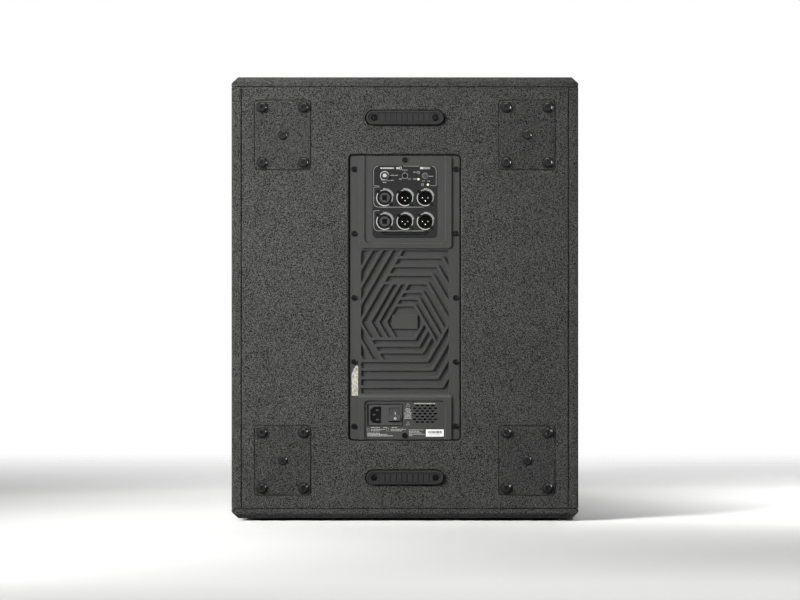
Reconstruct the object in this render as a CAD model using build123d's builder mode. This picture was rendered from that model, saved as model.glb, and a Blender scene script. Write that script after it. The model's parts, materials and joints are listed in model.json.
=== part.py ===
"""Powered public-address subwoofer: textured plywood cabinet with a rear amplifier panel.

Millimetres, +Z up, front grille towards -Y, rear amplifier panel towards +Y.
Rear features are placed in (u, v): u to the right seen from behind (-X), v up from mid-height.
"""

import os
from math import cos, radians, sin, sqrt, tan

from build123d import *

os.makedirs("parts", exist_ok=True)

# ---------------------------------------------------------------- driving dimensions
WIDTH = 502.0
BODY_HEIGHT = 639.0
BODY_DEPTH = 600.0
WALL = 15.0
FOOT_HEIGHT = 4.0
BUMPER_PROUD = 5.0

CORNER_BEVEL = 9.5
REAR_BEVEL = 7.0
EDGE_ROUND = 3.0
SEAM_WIDTH = 1.25
SEAM_DEPTH = 1.6

BOLT_CLEARANCE = 0.25
SCREW_CLEARANCE = 0.05
RUNNING_CLEARANCE = 0.05
MOVING_GAP = 0.3

FRONT_Y = -(BODY_DEPTH + BUMPER_PROUD) / 2
REAR_Y = FRONT_Y + BODY_DEPTH
TOP_Z = FOOT_HEIGHT + BODY_HEIGHT
MID_Z = FOOT_HEIGHT + BODY_HEIGHT / 2
INNER_WIDTH = WIDTH - 2 * WALL
INNER_HEIGHT = BODY_HEIGHT - 2 * WALL

# grille and baffle
GRILLE_SET_BACK = 4.0
GRILLE_THICKNESS = 1.5
GRILLE_GAP = 1.0
BATTEN_WIDTH = 14.0
GRILLE_SCREW_INSET = 33.0
BAFFLE_SET_BACK = 42.0
BAFFLE_THICKNESS = 18.0
BAFFLE_Y = FRONT_Y + BAFFLE_SET_BACK
BRACE_DEPTH = 392.0
BRACE_FRAME = 50.0
FOAM_THICKNESS = 20.0
FOAM_HEIGHT = 250.0
FOAM_GAP = 40.0

# woofer, depths measured back from the baffle face
WOOFER_BELOW_TOP = 231.5
WOOFER_V = BODY_HEIGHT / 2 - WOOFER_BELOW_TOP
WOOFER_RADIUS = 194.0
WOOFER_CUTOUT_RADIUS = 177.0
WOOFER_BOLT_CIRCLE = 185.5
FLANGE_THICKNESS = 6.0
BASKET_WALL = 4.0
BASKET_STRAIGHT = 18.0
BASKET_DEPTH = 112.0
BASKET_FLOOR = 6.0
BASKET_BASE_RADIUS = 114.0
BASKET_LIP = 10.0
HUB_BORE_RADIUS = 56.0
LEDGE_THICKNESS = 3.5
SPIDER_DEPTH = 73.5
SPIDER_RADIUS = 104.0
SPIDER_THICKNESS = 1.2
CONE_RADIUS = 152.0
CONE_THICKNESS = 2.0
CONE_DEPTH = 62.0
SURROUND_ROLL = 7.6
SURROUND_THICKNESS = 1.2
DUST_CAP_RADIUS = 66.0
DUST_CAP_RISE = 22.0
COIL_RADIUS = 49.5
COIL_LENGTH = 24.0
TOP_PLATE_RADIUS = 92.0
TOP_PLATE_THICKNESS = 10.0
MAGNET_RADIUS = 105.0
MAGNET_BORE_RADIUS = 62.0
MAGNET_THICKNESS = 24.0
YOKE_RADIUS = 98.0
YOKE_THICKNESS = 12.0
POLE_VENT_RADIUS = 14.0

# ports
PORT_FROM_SIDE = 109.0
PORT_ABOVE_BASE = 111.5
PORT_X = WIDTH / 2 - PORT_FROM_SIDE
PORT_V = PORT_ABOVE_BASE - BODY_HEIGHT / 2
PORT_RADIUS = 50.0
PORT_WALL = 3.0
PORT_LENGTH = 250.0
PORT_FLARE = 12.0

# caster plates
CASTER_FROM_SIDE = 74.2
CASTER_FROM_END = 84.0
CASTER_U = WIDTH / 2 - CASTER_FROM_SIDE
CASTER_V = BODY_HEIGHT / 2 - CASTER_FROM_END
CASTER_PLATE_WIDTH = 81.0
CASTER_PLATE_HEIGHT = 100.0
CASTER_PLATE_THICKNESS = 3.0
CASTER_BOLTS_U = 60.0
CASTER_BOLTS_V = 80.0
CASTER_BOLT_RADIUS = 4.0
FIT_GAP = 0.8

# rear bumpers
BUMPER_FROM_END = 59.2
BUMPER_V = BODY_HEIGHT / 2 - BUMPER_FROM_END
BUMPER_LENGTH = 111.6
BUMPER_WIDTH = 20.0
BUMPER_GAP = 1.8
BUMPER_DEPTH = 4.0
BUMPER_RIM = 2.7
BUMPER_DISH = 1.2
BUMPER_SCREW_FROM_END = 11.4
BUMPER_SCREW_U = BUMPER_LENGTH / 2 - BUMPER_SCREW_FROM_END
BUMPER_FLOOR = 1.0
RIB_CELLS = 9
RIB_PITCH = 7.94
RIB_GROOVE = 1.7

# amplifier panel
PANEL_WIDTH = 159.2
PANEL_HEIGHT = 410.7
PANEL_RADIUS = 4.5
PANEL_GAP = 1.7
PANEL_RECESS = 3.0
PANEL_THICKNESS = 3.0
SLAB_THICKNESS = 3.0
SLAB_WIDTH = 134.0
SLAB_HEIGHT = 384.0
GASKET_THICKNESS = 1.5
OPENING_WIDTH = 142.0
OPENING_HEIGHT = 392.0
RIM_HEIGHT = 2.5
TRAY_LEVEL = 0.5
TRAY_DRAFT = 28.0
RIM_OUTER_U = 67.3
RIM_INNER_U = 58.9
PANEL_SCREW_U = 73.6
PANEL_SCREW_V = (-186.1, -92.9, 0.0, 92.9, 186.1)
PANEL_END_SCREW_V = 199.6

UPPER_RIM_BOTTOM = 71.6
UPPER_TRAY_BOTTOM = 78.0
LOWER_SLOPE_TOP = -140.4
LOWER_RIM_TOP = -144.4
LOWER_TRAY_TOP = -148.9

# heatsink field
FIELD_U = 63.4
FIELD_TOP = 68.4
FIELD_BOTTOM = -138.9
FIELD_DEPTH = 3.2
HEX_V = -35.2
INNER_RINGS = (24.3, 34.1, 43.8)
OUTER_RINGS = (56.2, 68.6, 81.1, 93.7)
RIB_WIDTH = 4.0
PAD_WIDTH = 36.6
PAD_HEIGHT = 20.0

# input plate and what it carries
PLATE_WIDTH = 93.0
PLATE_BOTTOM = 86.8
PLATE_TOP = 190.9
PLATE_RADIUS = 6.0
PLATE_THICKNESS = 1.5
PLATE_PROUD = 0.5
CONTROL_V = 176.6
COLUMN_U = 29.4
CONNECTOR_ROWS = (144.7, 110.4)
CONNECTOR_RADIUS = 10.6
XLR_CAVITY_RADIUS = 9.6
XLR_CAVITY_DEPTH = 13.0
XLR_PIN_RADIUS = 1.2
XLR_PIN_CIRCLE = 4.1
JACK_RADIUS = 3.3
CONNECTOR_DEPTH = 24.0
CONNECTOR_SCREWS = ((-10.0, 9.5), (10.0, -9.8))
KNOB_SHAFT_RADIUS = 3.0
SELECTOR_RADIUS = 2.6
BUTTON_RADIUS = 3.0
BUTTON_TRAVEL = 1.5
LED_RADIUS = 1.5
LIT_LEDS = ((19.7, 171.5), (33.3, 163.7))
UNLIT_LEDS = ((19.7, 181.2), (25.5, 163.7))
SLOT_PITCH = 7.2

# mains module
MODULE_U = -28.7
MODULE_V = -169.7
MODULE_WIDTH = 49.6
MODULE_HEIGHT = 30.3
INLET_U = -42.2
INLET_V = -170.0
INLET_WIDTH = 15.9
INLET_HEIGHT = 24.3
INLET_BEVEL = 4.8
INLET_DEPTH = 15.0
BLADE_RECESS = 4.5
ROCKER_U = -15.0
ROCKER_V = -169.9
ROCKER_FRAME_WIDTH = 16.6
ROCKER_FRAME_HEIGHT = 21.1
ROCKER_TILT = 11.0
ROCKER_PIVOT_DEPTH = 1.0

# fan
FAN_U = 29.2
FAN_V = -168.2
FAN_SIZE = 40.0
FAN_DEPTH = 15.0
VENT_ROW_PITCH = 4.0
VENT_HOLE_PITCH = 7.5
VENT_LENGTH = 4.9
VENT_HEIGHT = 2.5

# handles
HANDLE_Y = -20.0
HANDLE_BELOW_TOP = 250.0
HANDLE_Z = TOP_Z - HANDLE_BELOW_TOP
HANDLE_SCREW_INSET_Y = 12.0
HANDLE_SCREW_INSET_Z = 10.0
HANDLE_LENGTH = 220.0
HANDLE_HEIGHT = 140.0
HANDLE_FLANGE = 3.0
HANDLE_CUP_LENGTH = 190.0
HANDLE_CUP_HEIGHT = 110.0
HANDLE_CUP_DEPTH = 62.0
HANDLE_CUP_WALL = 3.0
HANDLE_BAR_RADIUS = 12.0

# pole socket and feet
POLE_RADIUS = 17.9
POLE_DEPTH = 85.0
POLE_FLANGE_RADIUS = 50.0
POLE_FLANGE_THICKNESS = 3.0
POLE_THREAD_RADIUS = 8.65
POLE_BOTTOM = 14.0
FOOT_RADIUS = 18.0
FOOT_INSET = 45.0
FOOT_X = WIDTH / 2 - FOOT_INSET
FOOT_Y = BODY_DEPTH / 2 - FOOT_INSET
POLE_SCREW_CIRCLE = 39.6

# levels along the depth, measured outwards from the rear face
FLANGE_LEVEL = -PANEL_RECESS
TRAY_FACE = FLANGE_LEVEL + TRAY_LEVEL
PLATE_FACE = TRAY_FACE + PLATE_PROUD
PLATE_BACK = PLATE_FACE - PLATE_THICKNESS
SLAB_BACK = FLANGE_LEVEL - PANEL_THICKNESS - SLAB_THICKNESS
POCKET_DEPTH = PANEL_RECESS + PANEL_THICKNESS + GASKET_THICKNESS
MODULE_FACE = TRAY_FACE - 1.0


# ---------------------------------------------------------------- placing helpers
def rear(level=0.0, u=0.0, v=0.0):
    """Plane on the rear face, x to the right seen from behind, moved out by level."""
    return Plane(origin=(-u, REAR_Y + level, MID_Z + v), x_dir=(-1, 0, 0), z_dir=(0, 1, 0))


def front(depth=0.0, x=0.0, v=0.0):
    """Plane facing forwards, moved back from the baffle face by depth."""
    return Plane(origin=(x, BAFFLE_Y + depth, MID_Z + v), x_dir=(1, 0, 0), z_dir=(0, -1, 0))


def side(sign, inset=0.0, y=0.0, z=0.0):
    """Plane on the outer side face, x along the depth, facing outwards."""
    origin = (sign * (WIDTH / 2 - inset), y, z)
    return Plane(origin=origin, x_dir=(0, sign, 0), z_dir=(sign, 0, 0))


def discs(plane, spots, radius, amount, mode=Mode.ADD):
    """Equal round bars or holes at several spots of a plane."""
    with BuildSketch(plane) as marks:
        with Locations(*spots):
            Circle(radius)
    extrude(marks.sketch, amount=amount, mode=mode)


def blocks(plane, spots, width, height, amount, mode=Mode.ADD, corner=0.0):
    """Equal rectangular bars or pockets at several spots of a plane."""
    with BuildSketch(plane) as marks:
        with Locations(*spots):
            if corner > 0:
                RectangleRounded(width, height, corner)
            else:
                Rectangle(width, height)
    extrude(marks.sketch, amount=amount, mode=mode)


def slots(plane, spots, length, width, amount, mode=Mode.ADD):
    """Equal stadium bars or slots at several spots of a plane."""
    with BuildSketch(plane) as marks:
        with Locations(*spots):
            SlotOverall(length, width)
    extrude(marks.sketch, amount=amount, mode=mode)


def ring(plane, spots, outer, inner, amount, mode=Mode.ADD):
    """Equal round rings at several spots of a plane."""
    with BuildSketch(plane) as marks:
        with Locations(*spots):
            Circle(outer)
            Circle(inner, mode=Mode.SUBTRACT)
    extrude(marks.sketch, amount=amount, mode=mode)


def cross_recess(plane, spots, size, depth):
    """Cross-shaped drive recess cut inwards from a plane."""
    with BuildSketch(plane) as marks:
        with Locations(*spots):
            Rectangle(size, size * 0.24)
            Rectangle(size * 0.24, size)
    extrude(marks.sketch, amount=-depth, mode=Mode.SUBTRACT)


def spun(points, x=0.0, v=0.0):
    """Solid of revolution about a fore-and-aft axis; points are (radius, depth behind the baffle)."""
    plane = Plane(origin=(x, BAFFLE_Y, MID_Z + v), x_dir=(1, 0, 0), z_dir=(0, 0, 1))
    with BuildSketch(plane) as outline:
        with BuildLine():
            Polyline(*points, close=True)
        make_face()
    revolve(outline.sketch, axis=Axis((x, 0, MID_Z + v), (0, 1, 0)))


def save(piece, name):
    """Name a finished piece and write it out."""
    piece.part.label = name
    export_step(piece.part, f"parts/{name}.step")


# ---------------------------------------------------------------- hole patterns
CASTER_SPOTS = [(i * CASTER_U, j * CASTER_V) for j in (1, -1) for i in (-1, 1)]
BOLT_OFFSETS = [(i * CASTER_BOLTS_U / 2, j * CASTER_BOLTS_V / 2) for i in (-1, 1) for j in (-1, 1)]
CASTER_BOLT_SPOTS = [(u + a, v + b) for u, v in CASTER_SPOTS for a, b in BOLT_OFFSETS]
BUMPER_SCREW_SPOTS = [(i * BUMPER_SCREW_U, j * BUMPER_V) for i in (-1, 1) for j in (-1, 1)]
PANEL_SCREW_SPOTS = [(i * PANEL_SCREW_U, v) for i in (-1, 1) for v in PANEL_SCREW_V]
PANEL_SCREW_SPOTS += [(0, PANEL_END_SCREW_V), (0, -PANEL_END_SCREW_V)]
COMBO_SPOTS = [(-COLUMN_U, v) for v in CONNECTOR_ROWS]
XLR_SPOTS = [(u, v) for u in (0, COLUMN_U) for v in CONNECTOR_ROWS]
CONNECTOR_SPOTS = COMBO_SPOTS + XLR_SPOTS
CONNECTOR_SCREW_SPOTS = [(u + a, v + b) for u, v in CONNECTOR_SPOTS for a, b in CONNECTOR_SCREWS]
PORT_SPOTS = [(-PORT_X, PORT_V), (PORT_X, PORT_V)]
FOOT_SPOTS = [(i * FOOT_X, j * FOOT_Y) for i in (-1, 1) for j in (-1, 1)]
grille_x = (INNER_WIDTH - BATTEN_WIDTH) / 2
grille_v = INNER_HEIGHT / 2 - GRILLE_SCREW_INSET
GRILLE_SCREW_SPOTS = [(i * grille_x, j * grille_v) for i in (-1, 1) for j in (-1, 0, 1)]
GRILLE_SCREW_SPOTS += [(0, j * (INNER_HEIGHT - BATTEN_WIDTH) / 2) for j in (-1, 1)]
handle_screw_y = HANDLE_LENGTH / 2 - HANDLE_SCREW_INSET_Y
handle_screw_z = HANDLE_HEIGHT / 2 - HANDLE_SCREW_INSET_Z
HANDLE_SCREW_SPOTS = [(i * handle_screw_y, j * handle_screw_z) for i in (-1, 1) for j in (-1, 1)]
pole_screw = POLE_SCREW_CIRCLE / sqrt(2)
POLE_SCREW_SPOTS = [(i * pole_screw, j * pole_screw) for i in (-1, 1) for j in (-1, 1)]

WOOFER_BOLT_SPOTS = []
for step in range(8):
    turn = radians(22.5 + 45 * step)
    WOOFER_BOLT_SPOTS.append((WOOFER_BOLT_CIRCLE * cos(turn), WOOFER_BOLT_CIRCLE * sin(turn)))

# ---------------------------------------------------------------- cabinet shell
for name, lift, bevel_side in (("top_panel", TOP_Z - WALL, 1), ("bottom_panel", FOOT_HEIGHT, -1)):
    with BuildPart() as panel:
        with BuildSketch(Plane.XY.offset(lift)):
            with Locations((0, FRONT_Y + BODY_DEPTH / 2)):
                RectangleRounded(WIDTH, BODY_DEPTH, EDGE_ROUND)
        extrude(amount=WALL)
        outer = panel.faces().sort_by(Axis.Z)[-1 if bevel_side > 0 else 0]
        middle_z = outer.center().Z
        with BuildSketch(Plane.XZ) as corner_cut:
            for sign in (-1, 1):
                with BuildLine():
                    Polyline(
                        (sign * WIDTH / 2, middle_z),
                        (sign * (WIDTH / 2 - CORNER_BEVEL), middle_z),
                        (sign * WIDTH / 2, middle_z - bevel_side * CORNER_BEVEL),
                        close=True,
                    )
                make_face()
        extrude(amount=BODY_DEPTH, both=True, mode=Mode.SUBTRACT)
        with BuildSketch(Plane.YZ) as rear_cut:
            with BuildLine():
                Polyline(
                    (REAR_Y, middle_z),
                    (REAR_Y - REAR_BEVEL, middle_z),
                    (REAR_Y, middle_z - bevel_side * REAR_BEVEL),
                    close=True,
                )
            make_face()
        extrude(amount=WIDTH, both=True, mode=Mode.SUBTRACT)
        seam_start = lift if bevel_side > 0 else lift + WALL - SEAM_WIDTH
        with BuildSketch(Plane.XY.offset(seam_start)) as seam:
            with Locations((0, FRONT_Y + BODY_DEPTH / 2)):
                Rectangle(WIDTH, BODY_DEPTH)
                RectangleRounded(
                    WIDTH - 2 * SEAM_DEPTH, BODY_DEPTH - 2 * SEAM_DEPTH, EDGE_ROUND, mode=Mode.SUBTRACT
                )
        extrude(seam.sketch, amount=SEAM_WIDTH, mode=Mode.SUBTRACT)
        if bevel_side > 0:
            top_face = Plane.XY.offset(TOP_Z)
            discs(top_face, [(0, 0)], POLE_FLANGE_RADIUS + FIT_GAP / 2, -POLE_FLANGE_THICKNESS, Mode.SUBTRACT)
            discs(top_face, [(0, 0)], POLE_RADIUS + 6.2, -WALL, Mode.SUBTRACT)
            discs(top_face, POLE_SCREW_SPOTS, 2.0, -WALL + 1, Mode.SUBTRACT)
        else:
            discs(Plane.XY.offset(FOOT_HEIGHT), FOOT_SPOTS, 2.0, 12.0, Mode.SUBTRACT)
    save(panel, name)

for name, sign in (("left_side_panel", -1), ("right_side_panel", 1)):
    with BuildPart() as panel:
        middle = side(sign, 0, FRONT_Y + BODY_DEPTH / 2, MID_Z)
        blocks(middle, [(0, 0)], BODY_DEPTH, INNER_HEIGHT, -WALL)
        upright = panel.edges().filter_by(Axis.Z).group_by(Axis.X)[0 if sign < 0 else -1]
        fillet(upright, EDGE_ROUND)
        seam_u = -sign * (INNER_WIDTH + SEAM_WIDTH) / 2
        blocks(rear(), [(seam_u, 0)], SEAM_WIDTH, INNER_HEIGHT, -SEAM_DEPTH, Mode.SUBTRACT)
        handle = side(sign, 0, HANDLE_Y, HANDLE_Z)
        flange_fit = (HANDLE_LENGTH + FIT_GAP, HANDLE_HEIGHT + FIT_GAP)
        blocks(handle, [(0, 0)], *flange_fit, -HANDLE_FLANGE, Mode.SUBTRACT, 12.4)
        cup_fit = (HANDLE_CUP_LENGTH + 1, HANDLE_CUP_HEIGHT + 1)
        blocks(handle, [(0, 0)], *cup_fit, -WALL, Mode.SUBTRACT, 20.5)
        discs(handle, HANDLE_SCREW_SPOTS, 2.0, -WALL + 1, Mode.SUBTRACT)
    save(panel, name)

with BuildPart() as rear_panel:
    blocks(rear(), [(0, 0)], INNER_WIDTH, INNER_HEIGHT, -WALL)
    pocket = (PANEL_WIDTH + 2 * PANEL_GAP, PANEL_HEIGHT + 2 * PANEL_GAP)
    blocks(rear(), [(0, 0)], *pocket, -POCKET_DEPTH, Mode.SUBTRACT, PANEL_RADIUS + PANEL_GAP)
    rim = rear_panel.faces().sort_by(Axis.Y)[-1].inner_wires()[0].edges()
    fillet(rim, 2.4)
    blocks(rear(), [(0, 0)], OPENING_WIDTH, OPENING_HEIGHT, -WALL, Mode.SUBTRACT, 4)
    discs(rear(), PANEL_SCREW_SPOTS, 1.6, -WALL + 1, Mode.SUBTRACT)
    caster_fit = (CASTER_PLATE_WIDTH + 2 * FIT_GAP, CASTER_PLATE_HEIGHT + 2 * FIT_GAP)
    blocks(rear(), CASTER_SPOTS, *caster_fit, -CASTER_PLATE_THICKNESS, Mode.SUBTRACT, 5.8)
    discs(rear(), CASTER_BOLT_SPOTS, CASTER_BOLT_RADIUS + BOLT_CLEARANCE, -WALL, Mode.SUBTRACT)
    discs(rear(), CASTER_SPOTS, 2.5, -WALL + 1.5, Mode.SUBTRACT)
    bumper_fit = (BUMPER_LENGTH + 2 * BUMPER_GAP, BUMPER_WIDTH + 2 * BUMPER_GAP)
    bumper_spots = [(0, BUMPER_V), (0, -BUMPER_V)]
    slots(rear(), bumper_spots, *bumper_fit, -BUMPER_DEPTH, Mode.SUBTRACT)
    discs(rear(), BUMPER_SCREW_SPOTS, 2.0, -WALL + 1, Mode.SUBTRACT)
save(rear_panel, "rear_panel")

# ---------------------------------------------------------------- baffle, brace and grille
with BuildPart() as front_baffle:
    blocks(front(), [(0, 0)], INNER_WIDTH, INNER_HEIGHT, -BAFFLE_THICKNESS)
    discs(front(), [(0, WOOFER_V)], WOOFER_CUTOUT_RADIUS, -BAFFLE_THICKNESS, Mode.SUBTRACT)
    discs(front(), PORT_SPOTS, PORT_RADIUS + PORT_WALL + 0.1, -BAFFLE_THICKNESS, Mode.SUBTRACT)
    flare_fit = PORT_RADIUS + PORT_FLARE + FIT_GAP / 2
    discs(front(), PORT_SPOTS, flare_fit, -PORT_WALL, Mode.SUBTRACT)
    bolt_holes = [(x, v + WOOFER_V) for x, v in WOOFER_BOLT_SPOTS]
    discs(front(), bolt_holes, 2.9, -BAFFLE_THICKNESS, Mode.SUBTRACT)
save(front_baffle, "front_baffle")

BATTEN_DEPTH = BAFFLE_SET_BACK - GRILLE_SET_BACK - GRILLE_THICKNESS
with BuildPart() as grille_battens:
    blocks(front(), [(0, 0)], INNER_WIDTH, INNER_HEIGHT, BATTEN_DEPTH)
    clear_width = INNER_WIDTH - 2 * BATTEN_WIDTH
    clear_height = INNER_HEIGHT - 2 * BATTEN_WIDTH
    blocks(front(), [(0, 0)], clear_width, clear_height, BATTEN_DEPTH, Mode.SUBTRACT)
    discs(front(-BATTEN_DEPTH), GRILLE_SCREW_SPOTS, 1.6, -16, Mode.SUBTRACT)
save(grille_battens, "grille_battens")

with BuildPart() as grille:
    sheet = (INNER_WIDTH - 2 * GRILLE_GAP, INNER_HEIGHT - 2 * GRILLE_GAP)
    blocks(front(-BATTEN_DEPTH), [(0, 0)], *sheet, GRILLE_THICKNESS, Mode.ADD, 3)
    discs(front(-BATTEN_DEPTH), GRILLE_SCREW_SPOTS, 1.9, GRILLE_THICKNESS, Mode.SUBTRACT)
save(grille, "grille")

with BuildPart() as grille_screws:
    face = front(-BATTEN_DEPTH - GRILLE_THICKNESS)
    discs(face, GRILLE_SCREW_SPOTS, 3.4, 1.8)
    fillet(grille_screws.faces().group_by(Axis.Y)[0].edges(), 1.2)
    discs(face, GRILLE_SCREW_SPOTS, 1.6 - SCREW_CLEARANCE, -15)
    cross_recess(front(-BATTEN_DEPTH - GRILLE_THICKNESS - 1.8), GRILLE_SCREW_SPOTS, 3.4, 1.0)
save(grille_screws, "grille_screws")

with BuildPart() as window_brace:
    brace = front(BRACE_DEPTH)
    blocks(brace, [(0, 0)], INNER_WIDTH, INNER_HEIGHT, -WALL)
    window = (INNER_WIDTH - 2 * BRACE_FRAME, INNER_HEIGHT - 2 * BRACE_FRAME)
    blocks(brace, [(0, 0)], *window, -WALL, Mode.SUBTRACT, 30)
save(window_brace, "window_brace")

foam_front = BAFFLE_Y + BAFFLE_THICKNESS + FOAM_GAP
foam_back = BAFFLE_Y + BRACE_DEPTH - FOAM_GAP
with BuildPart() as damping_foam:
    for sign in (-1, 1):
        foam_z = FOOT_HEIGHT + WALL + FIT_GAP + FOAM_HEIGHT / 2
        lining = side(sign, WALL, (foam_front + foam_back) / 2, foam_z)
        blocks(lining, [(0, 0)], foam_back - foam_front, FOAM_HEIGHT, -FOAM_THICKNESS)
save(damping_foam, "damping_foam")

for name, x in (("left_port", -PORT_X), ("right_port", PORT_X)):
    with BuildPart() as port:
        tube = PORT_RADIUS + PORT_WALL
        spun(
            [
                (PORT_RADIUS + PORT_FLARE, 0),
                (PORT_RADIUS + PORT_FLARE, PORT_WALL),
                (tube, PORT_WALL),
                (tube, PORT_LENGTH),
                (PORT_RADIUS, PORT_LENGTH),
                (PORT_RADIUS, PORT_FLARE),
                (PORT_RADIUS + 1, PORT_FLARE * 0.42),
                (PORT_RADIUS + 4, 1.2),
                (PORT_RADIUS + 8, 0),
            ],
            x,
            PORT_V,
        )
    save(port, name)

# ---------------------------------------------------------------- woofer
flange_face = -FLANGE_THICKNESS
basket_radius = WOOFER_CUTOUT_RADIUS - 1
basket_inside = basket_radius - BASKET_WALL
basket_back = BASKET_DEPTH - BASKET_FLOOR
inner_straight = BASKET_STRAIGHT - 3
wall_slope = (basket_inside - BASKET_BASE_RADIUS + BASKET_WALL + 1) / (basket_back - inner_straight)


def wall_radius(depth):
    """Inside radius of the basket's tapered wall at a depth."""
    return basket_inside - (depth - inner_straight) * wall_slope


with BuildPart() as woofer_basket:
    ledge_back = SPIDER_DEPTH + LEDGE_THICKNESS
    spun(
        [
            (WOOFER_RADIUS, flange_face),
            (WOOFER_RADIUS, 0),
            (basket_radius, 0),
            (basket_radius, BASKET_STRAIGHT),
            (BASKET_BASE_RADIUS, basket_back),
            (BASKET_BASE_RADIUS, BASKET_DEPTH),
            (HUB_BORE_RADIUS, BASKET_DEPTH),
            (HUB_BORE_RADIUS, basket_back),
            (wall_radius(basket_back), basket_back),
            (wall_radius(ledge_back), ledge_back),
            (SPIDER_RADIUS - 6, ledge_back),
            (SPIDER_RADIUS - 6, SPIDER_DEPTH),
            (wall_radius(SPIDER_DEPTH), SPIDER_DEPTH),
            (basket_inside, inner_straight),
            (basket_inside, flange_face + 4),
            (basket_radius - BASKET_LIP, flange_face + 4),
            (basket_radius - BASKET_LIP, flange_face),
        ],
        0,
        WOOFER_V,
    )
    hub = front(0, 0, WOOFER_V)
    discs(hub.offset(FLANGE_THICKNESS), WOOFER_BOLT_SPOTS, 2.9, -FLANGE_THICKNESS, Mode.SUBTRACT)
    with BuildSketch(front(BASKET_STRAIGHT + 12, 0, WOOFER_V)):
        with PolarLocations(WOOFER_CUTOUT_RADIUS - 29, 6):
            Rectangle(50, 78)
    extrude(amount=-36, mode=Mode.SUBTRACT)
save(woofer_basket, "woofer_basket")

surround_middle = CONE_RADIUS + SURROUND_ROLL - 0.6
surround_edge = surround_middle + 20
with BuildPart() as woofer_gasket:
    ring(front(flange_face), [(0, WOOFER_V)], WOOFER_RADIUS, surround_edge + 0.5, 3)
    hole_spots = [(x, v + WOOFER_V) for x, v in WOOFER_BOLT_SPOTS]
    discs(front(flange_face), hole_spots, 2.9, 3, Mode.SUBTRACT)
save(woofer_gasket, "woofer_gasket")

with BuildPart() as woofer_surround:
    skin_face = flange_face - SURROUND_THICKNESS
    inner_roll = SURROUND_ROLL - SURROUND_THICKNESS
    turns = [radians(a) for a in range(0, 181, 15)]
    roll = [(surround_middle - SURROUND_ROLL * cos(a), skin_face - SURROUND_ROLL * sin(a)) for a in turns]
    hollow = [(surround_middle + inner_roll * cos(a), skin_face - inner_roll * sin(a)) for a in turns]
    lip = [(surround_edge, skin_face), (surround_edge, flange_face)]
    glue_edge = CONE_RADIUS - 6
    edge = [(glue_edge, flange_face), (glue_edge, skin_face)]
    hollow_start = [(surround_middle + inner_roll, flange_face)]
    hollow_end = [(surround_middle - inner_roll, flange_face)]
    spun(roll + lip + hollow_start + hollow + hollow_end + edge, 0, WOOFER_V)
save(woofer_surround, "woofer_surround")

cone_lip = flange_face + 1.4
cone_inside = CONE_RADIUS - 2 * CONE_THICKNESS
cone_slope = (CONE_DEPTH - cone_lip) / (cone_inside - COIL_RADIUS)
with BuildPart() as woofer_cone:
    spun(
        [
            (CONE_RADIUS, flange_face),
            (CONE_RADIUS, cone_lip),
            (COIL_RADIUS, CONE_DEPTH + CONE_THICKNESS),
            (COIL_RADIUS, CONE_DEPTH),
            (cone_inside, cone_lip),
            (cone_inside - 2, flange_face),
        ],
        0,
        WOOFER_V,
    )
save(woofer_cone, "woofer_cone")

cap_seat = cone_lip + (cone_inside - DUST_CAP_RADIUS) * cone_slope - 0.2
with BuildPart() as dust_cap:
    turns = [radians(a) for a in range(0, 91, 15)]
    rise = [(DUST_CAP_RADIUS * cos(a), cap_seat - DUST_CAP_RISE * sin(a)) for a in turns]
    under = [(r - 1.5 * cos(a), d + 1.4 * sin(a)) for (r, d), a in zip(rise, turns)]
    spun(rise + under[::-1], 0, WOOFER_V)
save(dust_cap, "dust_cap")

with BuildPart() as woofer_spider:
    wave = (SPIDER_RADIUS - 8 - COIL_RADIUS) / 9
    spider_face = SPIDER_DEPTH - SPIDER_THICKNESS
    ridge = [(COIL_RADIUS + 0.02 + wave * n, spider_face - (0 if n % 2 else 1.8)) for n in range(10)]
    shelf = [(SPIDER_RADIUS, spider_face), (SPIDER_RADIUS, SPIDER_DEPTH)]
    lower = [(r, d + SPIDER_THICKNESS) for r, d in reversed(ridge)]
    spun(ridge + shelf + lower, 0, WOOFER_V)
save(woofer_spider, "woofer_spider")

with BuildPart() as voice_coil:
    coil_start = BASKET_DEPTH - 8
    coil_end = coil_start + COIL_LENGTH
    spun(
        [
            (COIL_RADIUS, CONE_DEPTH - 1),
            (COIL_RADIUS, coil_start),
            (COIL_RADIUS + 1.1, coil_start),
            (COIL_RADIUS + 1.1, coil_end),
            (COIL_RADIUS - 0.5, coil_end),
            (COIL_RADIUS - 0.5, CONE_DEPTH - 1),
        ],
        0,
        WOOFER_V,
    )
save(voice_coil, "voice_coil")

magnet_face = BASKET_DEPTH + TOP_PLATE_THICKNESS
magnet_back = magnet_face + MAGNET_THICKNESS
with BuildPart() as woofer_top_plate:
    ring(front(BASKET_DEPTH), [(0, WOOFER_V)], TOP_PLATE_RADIUS, COIL_RADIUS + 1.7, -TOP_PLATE_THICKNESS)
save(woofer_top_plate, "woofer_top_plate")

with BuildPart() as woofer_magnet:
    ring(front(magnet_face), [(0, WOOFER_V)], MAGNET_RADIUS, MAGNET_BORE_RADIUS, -MAGNET_THICKNESS)
save(woofer_magnet, "woofer_magnet")

with BuildPart() as woofer_yoke:
    discs(front(magnet_back), [(0, WOOFER_V)], YOKE_RADIUS, -YOKE_THICKNESS)
    discs(front(BASKET_DEPTH), [(0, WOOFER_V)], COIL_RADIUS - 1.1, BASKET_DEPTH - magnet_back)
    pole_length = magnet_back + YOKE_THICKNESS - BASKET_DEPTH
    discs(front(BASKET_DEPTH), [(0, WOOFER_V)], POLE_VENT_RADIUS, -pole_length, Mode.SUBTRACT)
save(woofer_yoke, "woofer_yoke")

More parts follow.
